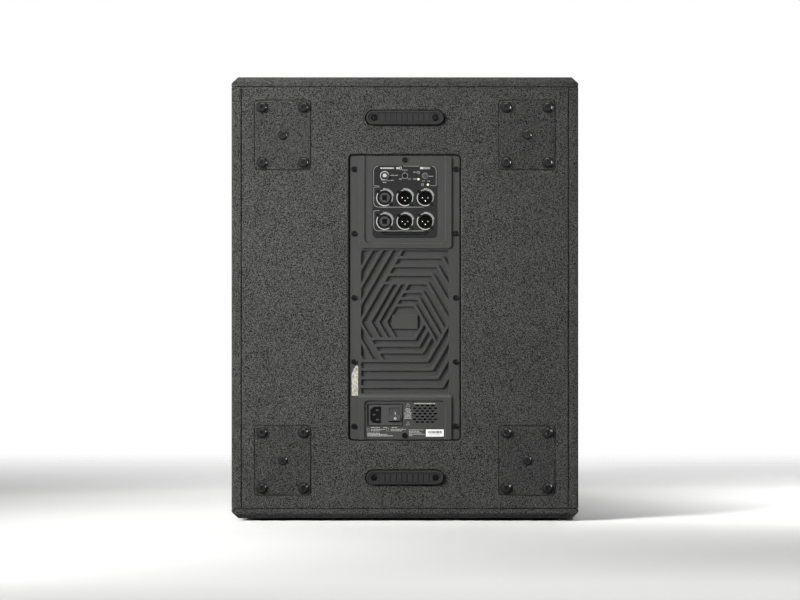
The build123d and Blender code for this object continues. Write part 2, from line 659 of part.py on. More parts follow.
with BuildPart() as woofer_bolts:
    bolt_spots = [(x, v + WOOFER_V) for x, v in WOOFER_BOLT_SPOTS]
    discs(front(-FLANGE_THICKNESS - 3), bolt_spots, 5.0, 5)
    discs(front(-FLANGE_THICKNESS - 3), bolt_spots, 2.9 - BOLT_CLEARANCE, -28)
    discs(front(-FLANGE_THICKNESS - 8), bolt_spots, 2.0, -3, Mode.SUBTRACT)
save(woofer_bolts, "woofer_bolts")

# ---------------------------------------------------------------- side handles
for name, sign in (("left_handle", -1), ("right_handle", 1)):
    with BuildPart() as handle_cup:
        face = side(sign, 0, HANDLE_Y, HANDLE_Z)
        blocks(face, [(0, 0)], HANDLE_LENGTH, HANDLE_HEIGHT, -HANDLE_FLANGE, Mode.ADD, 12)
        blocks(face, [(0, 0)], HANDLE_CUP_LENGTH, HANDLE_CUP_HEIGHT, -HANDLE_CUP_DEPTH, Mode.ADD, 20)
        hollow = (HANDLE_CUP_LENGTH - 2 * HANDLE_CUP_WALL, HANDLE_CUP_HEIGHT - 2 * HANDLE_CUP_WALL)
        hollow_depth = HANDLE_CUP_DEPTH - HANDLE_CUP_WALL
        blocks(face, [(0, 0)], *hollow, -hollow_depth, Mode.SUBTRACT, 17)
        discs(face, HANDLE_SCREW_SPOTS, 2.2, -HANDLE_FLANGE, Mode.SUBTRACT)
        bar_x = sign * (WIDTH / 2 - HANDLE_BAR_RADIUS - 3)
        with BuildSketch(Plane.XZ.offset(-HANDLE_Y)) as grip:
            with Locations((bar_x, HANDLE_Z)):
                Circle(HANDLE_BAR_RADIUS)
        extrude(grip.sketch, amount=HANDLE_CUP_LENGTH / 2 - 1, both=True)
    save(handle_cup, name)

# ---------------------------------------------------------------- pole socket and feet
with BuildPart() as pole_socket:
    top_face = Plane.XY.offset(TOP_Z)
    discs(top_face, [(0, 0)], POLE_FLANGE_RADIUS, -POLE_FLANGE_THICKNESS)
    discs(top_face, [(0, 0)], POLE_RADIUS + 6, -POLE_DEPTH - POLE_BOTTOM)
    discs(top_face, [(0, 0)], POLE_RADIUS, -POLE_DEPTH, Mode.SUBTRACT)
    discs(top_face, [(0, 0)], POLE_THREAD_RADIUS, -POLE_DEPTH - POLE_BOTTOM, Mode.SUBTRACT)
    discs(top_face, POLE_SCREW_SPOTS, 2.2, -POLE_FLANGE_THICKNESS, Mode.SUBTRACT)
save(pole_socket, "pole_socket")

with BuildPart() as feet:
    discs(Plane.XY, FOOT_SPOTS, FOOT_RADIUS, FOOT_HEIGHT)
    chamfer(feet.faces().group_by(Axis.Z)[0].edges(), 0.8)
    discs(Plane.XY, FOOT_SPOTS, 5.0, 2.4, Mode.SUBTRACT)
    discs(Plane.XY, FOOT_SPOTS, 2.2, FOOT_HEIGHT, Mode.SUBTRACT)
save(feet, "feet")

with BuildPart() as cabinet_screws:
    shank = 2.0 - SCREW_CLEARANCE
    for sign in (-1, 1):
        face = side(sign, 0, HANDLE_Y, HANDLE_Z)
        discs(face, HANDLE_SCREW_SPOTS, shank, -WALL + 1.5)
    discs(Plane.XY.offset(TOP_Z), POLE_SCREW_SPOTS, shank, -WALL + 1.5)
    discs(Plane.XY.offset(0.6), FOOT_SPOTS, 4.2, 1.8)
    discs(Plane.XY.offset(2.4), FOOT_SPOTS, shank, 12)
save(cabinet_screws, "cabinet_screws")

# ---------------------------------------------------------------- rear hardware
CASTER_NAMES = ("upper_left", "upper_right", "lower_left", "lower_right")
for corner, (u, v) in zip(CASTER_NAMES, CASTER_SPOTS):
    with BuildPart() as caster_plate:
        face = rear(0, u, v)
        plate = (CASTER_PLATE_WIDTH, CASTER_PLATE_HEIGHT)
        blocks(face, [(0, 0)], *plate, -CASTER_PLATE_THICKNESS, Mode.ADD, 5)
        chamfer(caster_plate.faces().sort_by(Axis.Y)[-1].edges(), 0.5)
        bolt_hole = CASTER_BOLT_RADIUS + BOLT_CLEARANCE
        discs(face, BOLT_OFFSETS, bolt_hole, -CASTER_PLATE_THICKNESS, Mode.SUBTRACT)
        discs(face, [(0, 0)], 2.75, -CASTER_PLATE_THICKNESS, Mode.SUBTRACT)
    save(caster_plate, f"caster_plate_{corner}")

with BuildPart() as caster_bolts:
    discs(rear(), CASTER_BOLT_SPOTS, 8.5, 1.0)
    discs(rear(1.0), CASTER_BOLT_SPOTS, 7.2, 3.4)
    fillet(caster_bolts.faces().group_by(Axis.Y)[-1].edges(), 2.9)
    discs(rear(), CASTER_BOLT_SPOTS, CASTER_BOLT_RADIUS, -WALL - 8)
    with BuildSketch(rear(4.4)):
        with Locations(*CASTER_BOLT_SPOTS):
            RegularPolygon(2.9, 6)
    extrude(amount=-2.6, mode=Mode.SUBTRACT)
save(caster_bolts, "caster_bolts")

with BuildPart() as caster_nuts:
    ring(rear(-WALL), CASTER_BOLT_SPOTS, 11, CASTER_BOLT_RADIUS + 0.1, -1.5)
    ring(rear(-WALL - 1.5), CASTER_BOLT_SPOTS, 6.5, CASTER_BOLT_RADIUS + 0.1, -5)
save(caster_nuts, "caster_nuts")

with BuildPart() as caster_centre_screws:
    discs(rear(), CASTER_SPOTS, 7.0, 2.4)
    fillet(caster_centre_screws.faces().group_by(Axis.Y)[-1].edges(), 2.3)
    discs(rear(), CASTER_SPOTS, 2.5 - SCREW_CLEARANCE, -WALL + 2)
    cross_recess(rear(2.4), CASTER_SPOTS, 4.4, 1.4)
save(caster_centre_screws, "caster_centre_screws")

for name, v in (("upper_bumper", BUMPER_V), ("lower_bumper", -BUMPER_V)):
    with BuildPart() as bumper:
        slots(rear(-BUMPER_DEPTH), [(0, v)], BUMPER_LENGTH, BUMPER_WIDTH, BUMPER_DEPTH + BUMPER_PROUD)
        fillet(bumper.faces().sort_by(Axis.Y)[-1].edges(), 1.1)
        dish = (BUMPER_LENGTH - 2 * BUMPER_RIM, BUMPER_WIDTH - 2 * BUMPER_RIM)
        slots(rear(BUMPER_PROUD), [(0, v)], *dish, -BUMPER_DISH, Mode.SUBTRACT)
        dish_floor = rear(BUMPER_PROUD - BUMPER_DISH)
        cell_spots = [(RIB_PITCH * (n - (RIB_CELLS - 1) / 2), v) for n in range(RIB_CELLS)]
        cell = (RIB_PITCH - RIB_GROOVE, BUMPER_WIDTH - 2 * BUMPER_RIM - RIB_GROOVE)
        blocks(dish_floor, cell_spots, *cell, BUMPER_DISH - 0.2)
        fillet(bumper.faces().filter_by(Axis.Y).group_by(Axis.Y)[-2].edges(), 0.7)
        screw_holes = [(-BUMPER_SCREW_U, v), (BUMPER_SCREW_U, v)]
        well_depth = BUMPER_PROUD - BUMPER_DISH - BUMPER_FLOOR
        discs(dish_floor, screw_holes, 4.9, -well_depth, Mode.SUBTRACT)
        discs(rear(BUMPER_FLOOR), screw_holes, 2.2, -BUMPER_DEPTH - BUMPER_FLOOR, Mode.SUBTRACT)
    save(bumper, name)

with BuildPart() as bumper_screws:
    discs(rear(BUMPER_FLOOR), BUMPER_SCREW_SPOTS, 4.35, 2.4)
    fillet(bumper_screws.faces().group_by(Axis.Y)[-1].edges(), 1.5)
    discs(rear(BUMPER_FLOOR), BUMPER_SCREW_SPOTS, 2.0 - SCREW_CLEARANCE, -WALL)
    cross_recess(rear(BUMPER_FLOOR + 2.4), BUMPER_SCREW_SPOTS, 4.6, 1.3)
save(bumper_screws, "bumper_screws")

# ---------------------------------------------------------------- heatsink rib layout
ROOT3 = sqrt(3)


def ring_path(start_apothem, apothem, end_x, end_v):
    """One arm of a hexagonal ring: arm start, upper corner, far end, about the centre."""
    start = ((0.5 * apothem - start_apothem) * 2 / ROOT3, apothem)
    corner = (apothem / ROOT3, apothem)
    return [start, corner, (end_x, end_v)]


def turned(point, angle):
    """Point turned about the centre by an angle in degrees."""
    x, y = point
    c, s = cos(radians(angle)), sin(radians(angle))
    return (x * c - y * s, x * s + y * c)


RIB_PATHS = []
for apothem in INNER_RINGS:
    limit = OUTER_RINGS[0]
    path = ring_path(INNER_RINGS[0], apothem, (apothem + limit) / ROOT3, apothem - limit)
    RIB_PATHS.append(path)
for apothem in OUTER_RINGS:
    far = 160.0
    path = ring_path(OUTER_RINGS[0], apothem, apothem / ROOT3 + far * 0.5, apothem - far * ROOT3 / 2)
    RIB_PATHS.append(path)

RIB_BARS = []
for path in RIB_PATHS:
    for angle in (0, -120, -240):
        points = [turned(point, angle) for point in path]
        for (x0, y0), (x1, y1) in zip(points, points[1:]):
            length = sqrt((x1 - x0) ** 2 + (y1 - y0) ** 2)
            middle = ((x0 + x1) / 2, (y0 + y1) / 2)
            direction = (x1 - x0, y1 - y0)
            RIB_BARS.append((middle, length + 0.58 * RIB_WIDTH, direction))

# ---------------------------------------------------------------- amplifier panel
with BuildPart() as amp_panel:
    flange_back = rear(FLANGE_LEVEL - PANEL_THICKNESS)
    blocks(flange_back, [(0, 0)], PANEL_WIDTH, PANEL_HEIGHT, PANEL_THICKNESS, Mode.ADD, PANEL_RADIUS)
    chamfer(amp_panel.faces().sort_by(Axis.Y)[-1].edges(), 0.5)
    blocks(flange_back, [(0, 0)], SLAB_WIDTH, SLAB_HEIGHT, -SLAB_THICKNESS, Mode.ADD, 3)
    # upper rim and tray
    top = PANEL_HEIGHT / 2
    with BuildSketch(rear(FLANGE_LEVEL)) as upper_rim:
        with BuildLine():
            Polyline(
                (-RIM_OUTER_U, top),
                (-RIM_OUTER_U, UPPER_RIM_BOTTOM),
                (RIM_OUTER_U, UPPER_RIM_BOTTOM),
                (RIM_OUTER_U, top),
                close=True,
            )
        make_face()
        fillet(upper_rim.vertices().group_by(Axis.Z)[0], 5)
    extrude(amount=RIM_HEIGHT)
    flange_y = REAR_Y + FLANGE_LEVEL
    with BuildSketch(Plane.YZ) as lower_rim:
        with BuildLine():
            Polyline(
                (flange_y, MID_Z - top),
                (flange_y, MID_Z + LOWER_SLOPE_TOP),
                (flange_y + RIM_HEIGHT, MID_Z + LOWER_RIM_TOP),
                (flange_y + RIM_HEIGHT, MID_Z - top),
                close=True,
            )
        make_face()
    extrude(amount=RIM_OUTER_U, both=True)
    with BuildSketch(rear(FLANGE_LEVEL + RIM_HEIGHT)) as upper_tray:
        with BuildLine():
            Polyline(
                (-RIM_INNER_U, top + RIM_HEIGHT),
                (-RIM_INNER_U, UPPER_TRAY_BOTTOM + 5.8),
                (-RIM_INNER_U + 5.8, UPPER_TRAY_BOTTOM),
                (RIM_INNER_U - 5.8, UPPER_TRAY_BOTTOM),
                (RIM_INNER_U, UPPER_TRAY_BOTTOM + 5.8),
                (RIM_INNER_U, top + RIM_HEIGHT),
                close=True,
            )
        make_face()
    extrude(amount=TRAY_LEVEL - RIM_HEIGHT, taper=TRAY_DRAFT, mode=Mode.SUBTRACT)
    with BuildSketch(rear(FLANGE_LEVEL + RIM_HEIGHT)) as lower_tray:
        with BuildLine():
            Polyline(
                (-RIM_INNER_U, -top - RIM_HEIGHT),
                (-RIM_INNER_U, LOWER_TRAY_TOP),
                (RIM_INNER_U, LOWER_TRAY_TOP),
                (RIM_INNER_U, -top - RIM_HEIGHT),
                close=True,
            )
        make_face()
        fillet(lower_tray.vertices().group_by(Axis.Z)[-1], 6)
    extrude(amount=TRAY_LEVEL - RIM_HEIGHT, taper=TRAY_DRAFT, mode=Mode.SUBTRACT)
    # heatsink field with raised ribs
    field_middle = (FIELD_TOP + FIELD_BOTTOM) / 2
    field_size = (2 * FIELD_U, FIELD_TOP - FIELD_BOTTOM)
    blocks(rear(FLANGE_LEVEL), [(0, field_middle)], *field_size, -FIELD_DEPTH, Mode.SUBTRACT, 3)
    with BuildSketch(rear(FLANGE_LEVEL - FIELD_DEPTH)) as ribs:
        for (x, y), length, (dx, dy) in RIB_BARS:
            tilt = Vector(dx, dy, 0).get_signed_angle(Vector(1, 0, 0), Vector(0, 0, -1))
            with Locations(Location((x, y + HEX_V, 0), (0, 0, tilt))):
                Rectangle(length, RIB_WIDTH)
        with Locations((0, HEX_V)):
            Rectangle(PAD_WIDTH, PAD_HEIGHT)
        with Locations((0, field_middle)):
            RectangleRounded(field_size[0] + 0.4, field_size[1] + 0.4, 3.2, mode=Mode.INTERSECT)
    extrude(amount=FIELD_DEPTH)
    # openings for the input plate, mains module and fan
    plate_height = PLATE_TOP - PLATE_BOTTOM
    plate_v = (PLATE_TOP + PLATE_BOTTOM) / 2
    plate_seat = PLATE_THICKNESS - PLATE_PROUD
    seat = (PLATE_WIDTH + 0.4, plate_height + 0.4)
    blocks(rear(TRAY_FACE), [(0, plate_v)], *seat, -plate_seat, Mode.SUBTRACT, PLATE_RADIUS + 0.2)
    window = (PLATE_WIDTH - 7, plate_height - 5)
    blocks(rear(TRAY_FACE), [(0, plate_v)], *window, -10, Mode.SUBTRACT, 4)
    module_seat = (MODULE_WIDTH + 0.4, MODULE_HEIGHT + 0.4)
    blocks(rear(TRAY_FACE), [(MODULE_U, MODULE_V)], *module_seat, -10, Mode.SUBTRACT, 3.2)
    blocks(rear(SLAB_BACK), [(FAN_U, FAN_V)], 37, 33, SLAB_THICKNESS, Mode.SUBTRACT, 3)
    vent_spots = []
    for row in range(7):
        count = 5 if row % 2 else 4
        for n in range(count):
            hole_u = FAN_U + VENT_HOLE_PITCH * (n - (count - 1) / 2)
            vent_spots.append((hole_u, FAN_V + VENT_ROW_PITCH * (row - 3)))
    slots(rear(TRAY_FACE), vent_spots, VENT_LENGTH, VENT_HEIGHT, -PANEL_THICKNESS - 1, Mode.SUBTRACT)
    # countersunk screw holes
    discs(rear(0), PANEL_SCREW_SPOTS, 1.9, -PANEL_RECESS - PANEL_THICKNESS, Mode.SUBTRACT)
save(amp_panel, "amp_panel")

with BuildPart() as amp_gasket:
    gasket_face = rear(FLANGE_LEVEL - PANEL_THICKNESS)
    blocks(gasket_face, [(0, 0)], PANEL_WIDTH, PANEL_HEIGHT, -GASKET_THICKNESS, Mode.ADD, PANEL_RADIUS)
    blocks(gasket_face, [(0, 0)], OPENING_WIDTH, OPENING_HEIGHT, -GASKET_THICKNESS, Mode.SUBTRACT, 4)
    discs(gasket_face, PANEL_SCREW_SPOTS, 1.9, -GASKET_THICKNESS, Mode.SUBTRACT)
save(amp_gasket, "amp_gasket")

with BuildPart() as amp_screws:
    flange_spots = PANEL_SCREW_SPOTS[:-2]
    end_spots = PANEL_SCREW_SPOTS[-2:]
    discs(rear(FLANGE_LEVEL), flange_spots, 4.1, 2.0)
    discs(rear(TRAY_FACE), end_spots, 4.1, 1.5)
    fillet(amp_screws.faces().group_by(Axis.Y)[-1].edges(), 1.1)
    discs(rear(FLANGE_LEVEL), PANEL_SCREW_SPOTS, 1.6 - SCREW_CLEARANCE, -WALL + PANEL_RECESS + 2)
    discs(rear(TRAY_FACE), end_spots, 1.5, -1)
    cross_recess(rear(FLANGE_LEVEL + 2.0), PANEL_SCREW_SPOTS, 4.2, 1.2)
save(amp_screws, "amp_screws")

# ---------------------------------------------------------------- input plate and connectors
with BuildPart() as input_plate:
    plate_size = (PLATE_WIDTH, plate_height)
    blocks(rear(PLATE_BACK), [(0, plate_v)], *plate_size, PLATE_THICKNESS, Mode.ADD, PLATE_RADIUS)
    discs(rear(PLATE_FACE), CONNECTOR_SPOTS, CONNECTOR_RADIUS + 0.1, -PLATE_THICKNESS, Mode.SUBTRACT)
    discs(rear(PLATE_FACE), CONNECTOR_SCREW_SPOTS, 1.4, -PLATE_THICKNESS, Mode.SUBTRACT)
    for u, shaft in ((-COLUMN_U, KNOB_SHAFT_RADIUS), (0, SELECTOR_RADIUS), (COLUMN_U, BUTTON_RADIUS)):
        hole = shaft + RUNNING_CLEARANCE
        discs(rear(PLATE_FACE), [(u, CONTROL_V)], hole, -PLATE_THICKNESS, Mode.SUBTRACT)
    discs(rear(PLATE_FACE), LIT_LEDS + UNLIT_LEDS, LED_RADIUS + 0.05, -PLATE_THICKNESS, Mode.SUBTRACT)
    slot_spots = [(SLOT_PITCH * (n - 4.5), 94.6) for n in range(10)]
    slot_spots += [(SLOT_PITCH * (n - 4), 91.4) for n in range(9)]
    slots(rear(PLATE_FACE), slot_spots, 5.0, 1.9, -PLATE_THICKNESS, Mode.SUBTRACT)
save(input_plate, "input_plate")

with BuildPart() as volume_knob:
    knob_spot = [(-COLUMN_U, CONTROL_V)]
    discs(rear(PLATE_FACE + MOVING_GAP), knob_spot, 4.9, 2.2)
    chamfer(volume_knob.faces().group_by(Axis.Y)[-1].edges(), 0.6)
    discs(rear(PLATE_FACE + MOVING_GAP + 2.2), knob_spot, 3.25, 3.6)
    chamfer(volume_knob.faces().group_by(Axis.Y)[-1].edges(), 0.4)
    discs(rear(PLATE_FACE + MOVING_GAP), knob_spot, KNOB_SHAFT_RADIUS, -9)
    pointer = Plane(
        origin=(COLUMN_U, REAR_Y + PLATE_FACE + MOVING_GAP + 5.8, MID_Z + CONTROL_V),
        x_dir=(-sin(radians(135)), 0, cos(radians(135))),
        z_dir=(0, 1, 0),
    )
    blocks(pointer, [(2.0, 0)], 3.2, 0.9, -0.6, Mode.SUBTRACT)
save(volume_knob, "volume_knob")

with BuildPart() as mode_selector:
    selector_spot = [(0, CONTROL_V)]
    discs(rear(PLATE_FACE - 0.3), selector_spot, SELECTOR_RADIUS, -8)
    blocks(rear(PLATE_FACE - 0.3), selector_spot, 0.9, 3.6, -1.0, Mode.SUBTRACT)
save(mode_selector, "mode_selector")

with BuildPart() as phase_button:
    discs(rear(PLATE_FACE + 2.0), [(COLUMN_U, CONTROL_V)], BUTTON_RADIUS, -9)
    chamfer(phase_button.faces().sort_by(Axis.Y)[-1].edges(), 0.4)
save(phase_button, "phase_button")

for name, spots in (("lit_leds", LIT_LEDS), ("unlit_leds", UNLIT_LEDS)):
    with BuildPart() as leds:
        discs(rear(PLATE_FACE + 0.9), spots, LED_RADIUS, -8)
        fillet(leds.faces().group_by(Axis.Y)[-1].edges(), 0.9)
    save(leds, name)

STAR_OFFSETS = [(3.4 * cos(radians(a)), 3.4 * sin(radians(a))) for a in (45, 135, 225, 315)]
with BuildPart() as combo_inputs:
    blocks(rear(PLATE_BACK), COMBO_SPOTS, 25.5, 25.5, -2, Mode.ADD, 2)
    discs(rear(PLATE_FACE - 0.3), COMBO_SPOTS, CONNECTOR_RADIUS, -CONNECTOR_DEPTH)
    ring(rear(PLATE_FACE - 0.3), COMBO_SPOTS, 9.5, 7.8, -4, Mode.SUBTRACT)
    discs(rear(PLATE_FACE - 0.3), COMBO_SPOTS, JACK_RADIUS, -20, Mode.SUBTRACT)
    star_spots = [(u + a, v + b) for u, v in COMBO_SPOTS for a, b in STAR_OFFSETS]
    discs(rear(PLATE_FACE - 0.3), star_spots, 1.5, -14, Mode.SUBTRACT)
    combo_screw_spots = CONNECTOR_SCREW_SPOTS[:4]
    discs(rear(PLATE_BACK), combo_screw_spots, 1.25, -2, Mode.SUBTRACT)
save(combo_inputs, "combo_inputs")

PIN_OFFSETS = [(XLR_PIN_CIRCLE * cos(radians(a)), XLR_PIN_CIRCLE * sin(radians(a))) for a in (180, 0, 270)]
PIN_SPOTS = [(u + a, v + b) for u, v in XLR_SPOTS for a, b in PIN_OFFSETS]
with BuildPart() as xlr_outputs:
    blocks(rear(PLATE_BACK), XLR_SPOTS, 25.5, 25.5, -2, Mode.ADD, 2)
    discs(rear(PLATE_FACE - 0.2), XLR_SPOTS, CONNECTOR_RADIUS, -CONNECTOR_DEPTH)
    discs(rear(PLATE_FACE - 0.2), XLR_SPOTS, XLR_CAVITY_RADIUS, -XLR_CAVITY_DEPTH, Mode.SUBTRACT)
    blocks(rear(PLATE_FACE - 0.2), [(u, v + 9.4) for u, v in XLR_SPOTS], 3.4, 1.8, -5)
    pin_floor = rear(PLATE_FACE - 0.2 - XLR_CAVITY_DEPTH)
    discs(pin_floor, PIN_SPOTS, XLR_PIN_RADIUS + 0.05, -4, Mode.SUBTRACT)
    discs(rear(PLATE_BACK), CONNECTOR_SCREW_SPOTS[4:], 1.25, -2, Mode.SUBTRACT)
save(xlr_outputs, "xlr_outputs")

with BuildPart() as xlr_pins:
    discs(rear(PLATE_FACE - 4.2), PIN_SPOTS, XLR_PIN_RADIUS, -XLR_CAVITY_DEPTH)
    fillet(xlr_pins.faces().group_by(Axis.Y)[-1].edges(), 0.8)
save(xlr_pins, "xlr_pins")

with BuildPart() as connector_screws:
    discs(rear(PLATE_FACE), CONNECTOR_SCREW_SPOTS, 1.9, 0.7)
    discs(rear(PLATE_FACE), CONNECTOR_SCREW_SPOTS, 1.2, -PLATE_THICKNESS - 2)
    cross_recess(rear(PLATE_FACE + 0.7), CONNECTOR_SCREW_SPOTS, 2.2, 0.5)
save(connector_screws, "connector_screws")

BOARD_LEVEL = PLATE_FACE - 0.3 - CONNECTOR_DEPTH
with BuildPart() as input_board:
    blocks(rear(BOARD_LEVEL - 0.3), [(0, plate_v)], 84, 96, -1.6)
    for u, bore in ((-COLUMN_U, KNOB_SHAFT_RADIUS), (0, SELECTOR_RADIUS)):
        blocks(rear(BOARD_LEVEL - 0.3), [(u, CONTROL_V)], 11, 11, 18.5)
        pot_face = rear(BOARD_LEVEL + 18.2)
        discs(pot_face, [(u, CONTROL_V)], bore + RUNNING_CLEARANCE, -6, Mode.SUBTRACT)
    blocks(rear(BOARD_LEVEL - 0.3), [(COLUMN_U, CONTROL_V)], 8, 8, 14)
    for u, v in LIT_LEDS + UNLIT_LEDS:
        discs(rear(BOARD_LEVEL - 0.3), [(u, v)], 1.4, PLATE_FACE - 7.1 - BOARD_LEVEL + 0.3)
save(input_board, "input_board")

# ---------------------------------------------------------------- mains module
with BuildPart() as mains_module:
    face = rear(MODULE_FACE)
    spot = [(MODULE_U, MODULE_V)]
    blocks(face, spot, MODULE_WIDTH, MODULE_HEIGHT, -22, Mode.ADD, 3)
    inlet_left = INLET_U - INLET_WIDTH / 2
    inlet_right = INLET_U + INLET_WIDTH / 2
    inlet_top = INLET_V + INLET_HEIGHT / 2
    inlet_bottom = INLET_V - INLET_HEIGHT / 2
    with BuildSketch(face):
        with BuildLine():
            Polyline(
                (inlet_right, inlet_top),
                (inlet_left + INLET_BEVEL, inlet_top),
                (inlet_left, inlet_top - INLET_BEVEL),
                (inlet_left, inlet_bottom + INLET_BEVEL),
                (inlet_left + INLET_BEVEL, inlet_bottom),
                (inlet_right, inlet_bottom),
                close=True,
            )
        make_face()
    extrude(amount=-INLET_DEPTH, mode=Mode.SUBTRACT)
    rocker_spot = [(ROCKER_U, ROCKER_V)]
    frame_size = (ROCKER_FRAME_WIDTH, ROCKER_FRAME_HEIGHT)
    blocks(face, rocker_spot, *frame_size, -13, Mode.SUBTRACT, 0.8)
    pivot = Plane(
        origin=(-ROCKER_U, REAR_Y + MODULE_FACE - ROCKER_PIVOT_DEPTH - 2, MID_Z + ROCKER_V),
        x_dir=(0, 1, 0),
        z_dir=(1, 0, 0),
    )
    pin_reach = ROCKER_FRAME_WIDTH / 2 + 0.9
    with BuildSketch(pivot) as pin_hole:
        Circle(1.5 + RUNNING_CLEARANCE)
    extrude(pin_hole.sketch, amount=pin_reach, both=True, mode=Mode.SUBTRACT)
    blade_spots = [(INLET_U + 2.2, INLET_V + 7), (INLET_U + 2.2, INLET_V - 7), (INLET_U - 2.6, INLET_V)]
    blocks(rear(MODULE_FACE - INLET_DEPTH), blade_spots, 4.1, 2.1, -4, Mode.SUBTRACT)
save(mains_module, "mains_module")

with BuildPart() as inlet_pins:
    blocks(rear(MODULE_FACE - BLADE_RECESS), blade_spots, 4.0, 2.0, -INLET_DEPTH + BLADE_RECESS - 4)
save(inlet_pins, "inlet_pins")

with BuildPart() as power_rocker:
    tilt = radians(ROCKER_TILT)
    swing = Plane(origin=pivot.origin, x_dir=(0, -sin(tilt), cos(tilt)), z_dir=(1, 0, 0))
    rocker_width = ROCKER_FRAME_WIDTH - 2 * MOVING_GAP
    crest = 10.2 * tan(tilt)
    with BuildSketch(swing) as profile:
        Circle(10.2)
        with BuildLine():
            Polyline(
                (-10.4, -2.6 - crest),
                (0, -2.6),
                (10.4, -2.6 - crest),
                (10.4, 6),
                (-10.4, 6),
                close=True,
            )
        make_face(mode=Mode.INTERSECT)
    extrude(profile.sketch, amount=rocker_width / 2, both=True)
    with BuildSketch(pivot) as pins:
        Circle(1.5)
    extrude(pins.sketch, amount=pin_reach - 0.3, both=True)
save(power_rocker, "power_rocker")

# ---------------------------------------------------------------- fan, boards and cover
with BuildPart() as fan_frame:
    fan_face = rear(SLAB_BACK)
    fan_spot = [(FAN_U, FAN_V)]
    blocks(fan_face, fan_spot, FAN_SIZE, FAN_SIZE, -FAN_DEPTH, Mode.ADD, 3)
    discs(fan_face, fan_spot, 18.6, -FAN_DEPTH, Mode.SUBTRACT)
    back = rear(SLAB_BACK - FAN_DEPTH)
    discs(back, fan_spot, 9.0, 2.0)
    blocks(back, fan_spot, 38.5, 3.0, 1.8)
    blocks(back, fan_spot, 3.0, 38.5, 1.8)
    discs(back, fan_spot, 1.5, FAN_DEPTH - 3)
save(fan_frame, "fan_frame")

with BuildPart() as fan_rotor:
    rotor_back = rear(SLAB_BACK - FAN_DEPTH + 2.4, FAN_U, FAN_V)
    discs(rotor_back, [(0, 0)], 8.8, 11)
    with BuildSketch(rotor_back.offset(1)) as blades:
        with PolarLocations(12.6, 7):
            Rectangle(9.4, 4.2, rotation=38)
    extrude(blades.sketch, amount=9)
    discs(rotor_back, [(0, 0)], 1.5 + RUNNING_CLEARANCE, 9.9, Mode.SUBTRACT)
save(fan_rotor, "fan_rotor")

with BuildPart() as power_board:
    board = rear(-52)
    blocks(board, [(0, -35)], 112, 190, -1.6)
    stand_spots = [(i * 50, v) for i in (-1, 1) for v in (-124, 54)]
    discs(board, stand_spots, 4, 52 + SLAB_BACK)
    discs(board, [(-26, 26)], 26, 24)
    discs(board, [(18, 38), (40, 38), (18, 12), (40, 12)], 9, 30)
    blocks(board, [(-32, -40), (32, -40)], 14, 70, 28)
    blocks(board, [(-10, -95), (24, -95)], 24, 20, 16)
save(power_board, "power_board")

COVER_DEPTH = 66.0
with BuildPart() as amp_cover:
    blocks(rear(SLAB_BACK), [(0, 0)], SLAB_WIDTH - 4, SLAB_HEIGHT - 4, -COVER_DEPTH, Mode.ADD, 4)
    inside = (SLAB_WIDTH - 7, SLAB_HEIGHT - 7)
    blocks(rear(SLAB_BACK), [(0, 0)], *inside, -COVER_DEPTH + 1.5, Mode.SUBTRACT, 2.5)
save(amp_cover, "amp_cover")
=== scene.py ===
"""Looks and light for the powered subwoofer, seen from behind at mid-height."""

import json
import math
import random

import bmesh
import bpy
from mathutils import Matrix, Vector


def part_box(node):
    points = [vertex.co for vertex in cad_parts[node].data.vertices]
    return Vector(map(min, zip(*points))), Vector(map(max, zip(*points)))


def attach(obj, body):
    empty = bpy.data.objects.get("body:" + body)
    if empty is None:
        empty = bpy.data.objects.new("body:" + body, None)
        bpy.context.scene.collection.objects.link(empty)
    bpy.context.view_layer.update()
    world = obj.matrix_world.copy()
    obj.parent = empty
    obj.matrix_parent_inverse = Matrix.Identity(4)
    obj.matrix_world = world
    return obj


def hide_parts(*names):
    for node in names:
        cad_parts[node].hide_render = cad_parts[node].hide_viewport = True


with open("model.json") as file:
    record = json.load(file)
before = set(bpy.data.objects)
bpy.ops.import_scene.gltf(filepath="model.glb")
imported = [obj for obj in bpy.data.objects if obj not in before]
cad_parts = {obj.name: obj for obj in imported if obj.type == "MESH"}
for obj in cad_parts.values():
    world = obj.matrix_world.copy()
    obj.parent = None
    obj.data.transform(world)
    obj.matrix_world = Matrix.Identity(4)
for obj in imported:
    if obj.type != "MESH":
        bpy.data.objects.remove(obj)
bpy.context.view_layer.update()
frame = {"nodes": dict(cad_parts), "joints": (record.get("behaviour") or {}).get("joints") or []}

# ------------------------------------------------------------ where the rear face is
low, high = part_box("rear_panel")
REAR = high.y
MID = (low.z + high.z) / 2
MM = 0.001
plate_low, plate_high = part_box("input_plate")
PLATE = (plate_high.y - REAR) / MM
TRAY = PLATE - 0.5  # floor of the lower tray, in mm out from the rear face like the next ones
FLANGE = PLATE - 1.0  # outer rim of the amplifier panel
MARK = 0.12  # how far a flat mark stands off what it is printed on


def at(u, v, level):
    """Point on the rear face: u to the right seen from behind, v up, level outwards, all in mm."""
    return Vector((-u * MM, REAR + level * MM, MID + v * MM))


# ------------------------------------------------------------ camera
IMAGE_WIDTH = 800
SENSOR = 36.0
SCALE = 1.447 * MM  # metres on the rear face for each step across the picture
DISTANCE = 4.2
camera_data = bpy.data.cameras.new("camera")
camera_data.sensor_width = SENSOR
camera_data.lens = DISTANCE * SENSOR / (IMAGE_WIDTH * SCALE)
camera_data.shift_x = -4.9 / IMAGE_WIDTH
camera_data.shift_y = -2.3 / IMAGE_WIDTH
camera_data.clip_end = 60
camera = bpy.data.objects.new("camera", camera_data)
camera.location = (0.0, REAR + DISTANCE, MID)
camera.rotation_euler = (math.radians(90), 0, math.radians(180))
bpy.context.scene.collection.objects.link(camera)
bpy.context.scene.camera = camera
bpy.context.scene.view_settings.view_transform = "Standard"


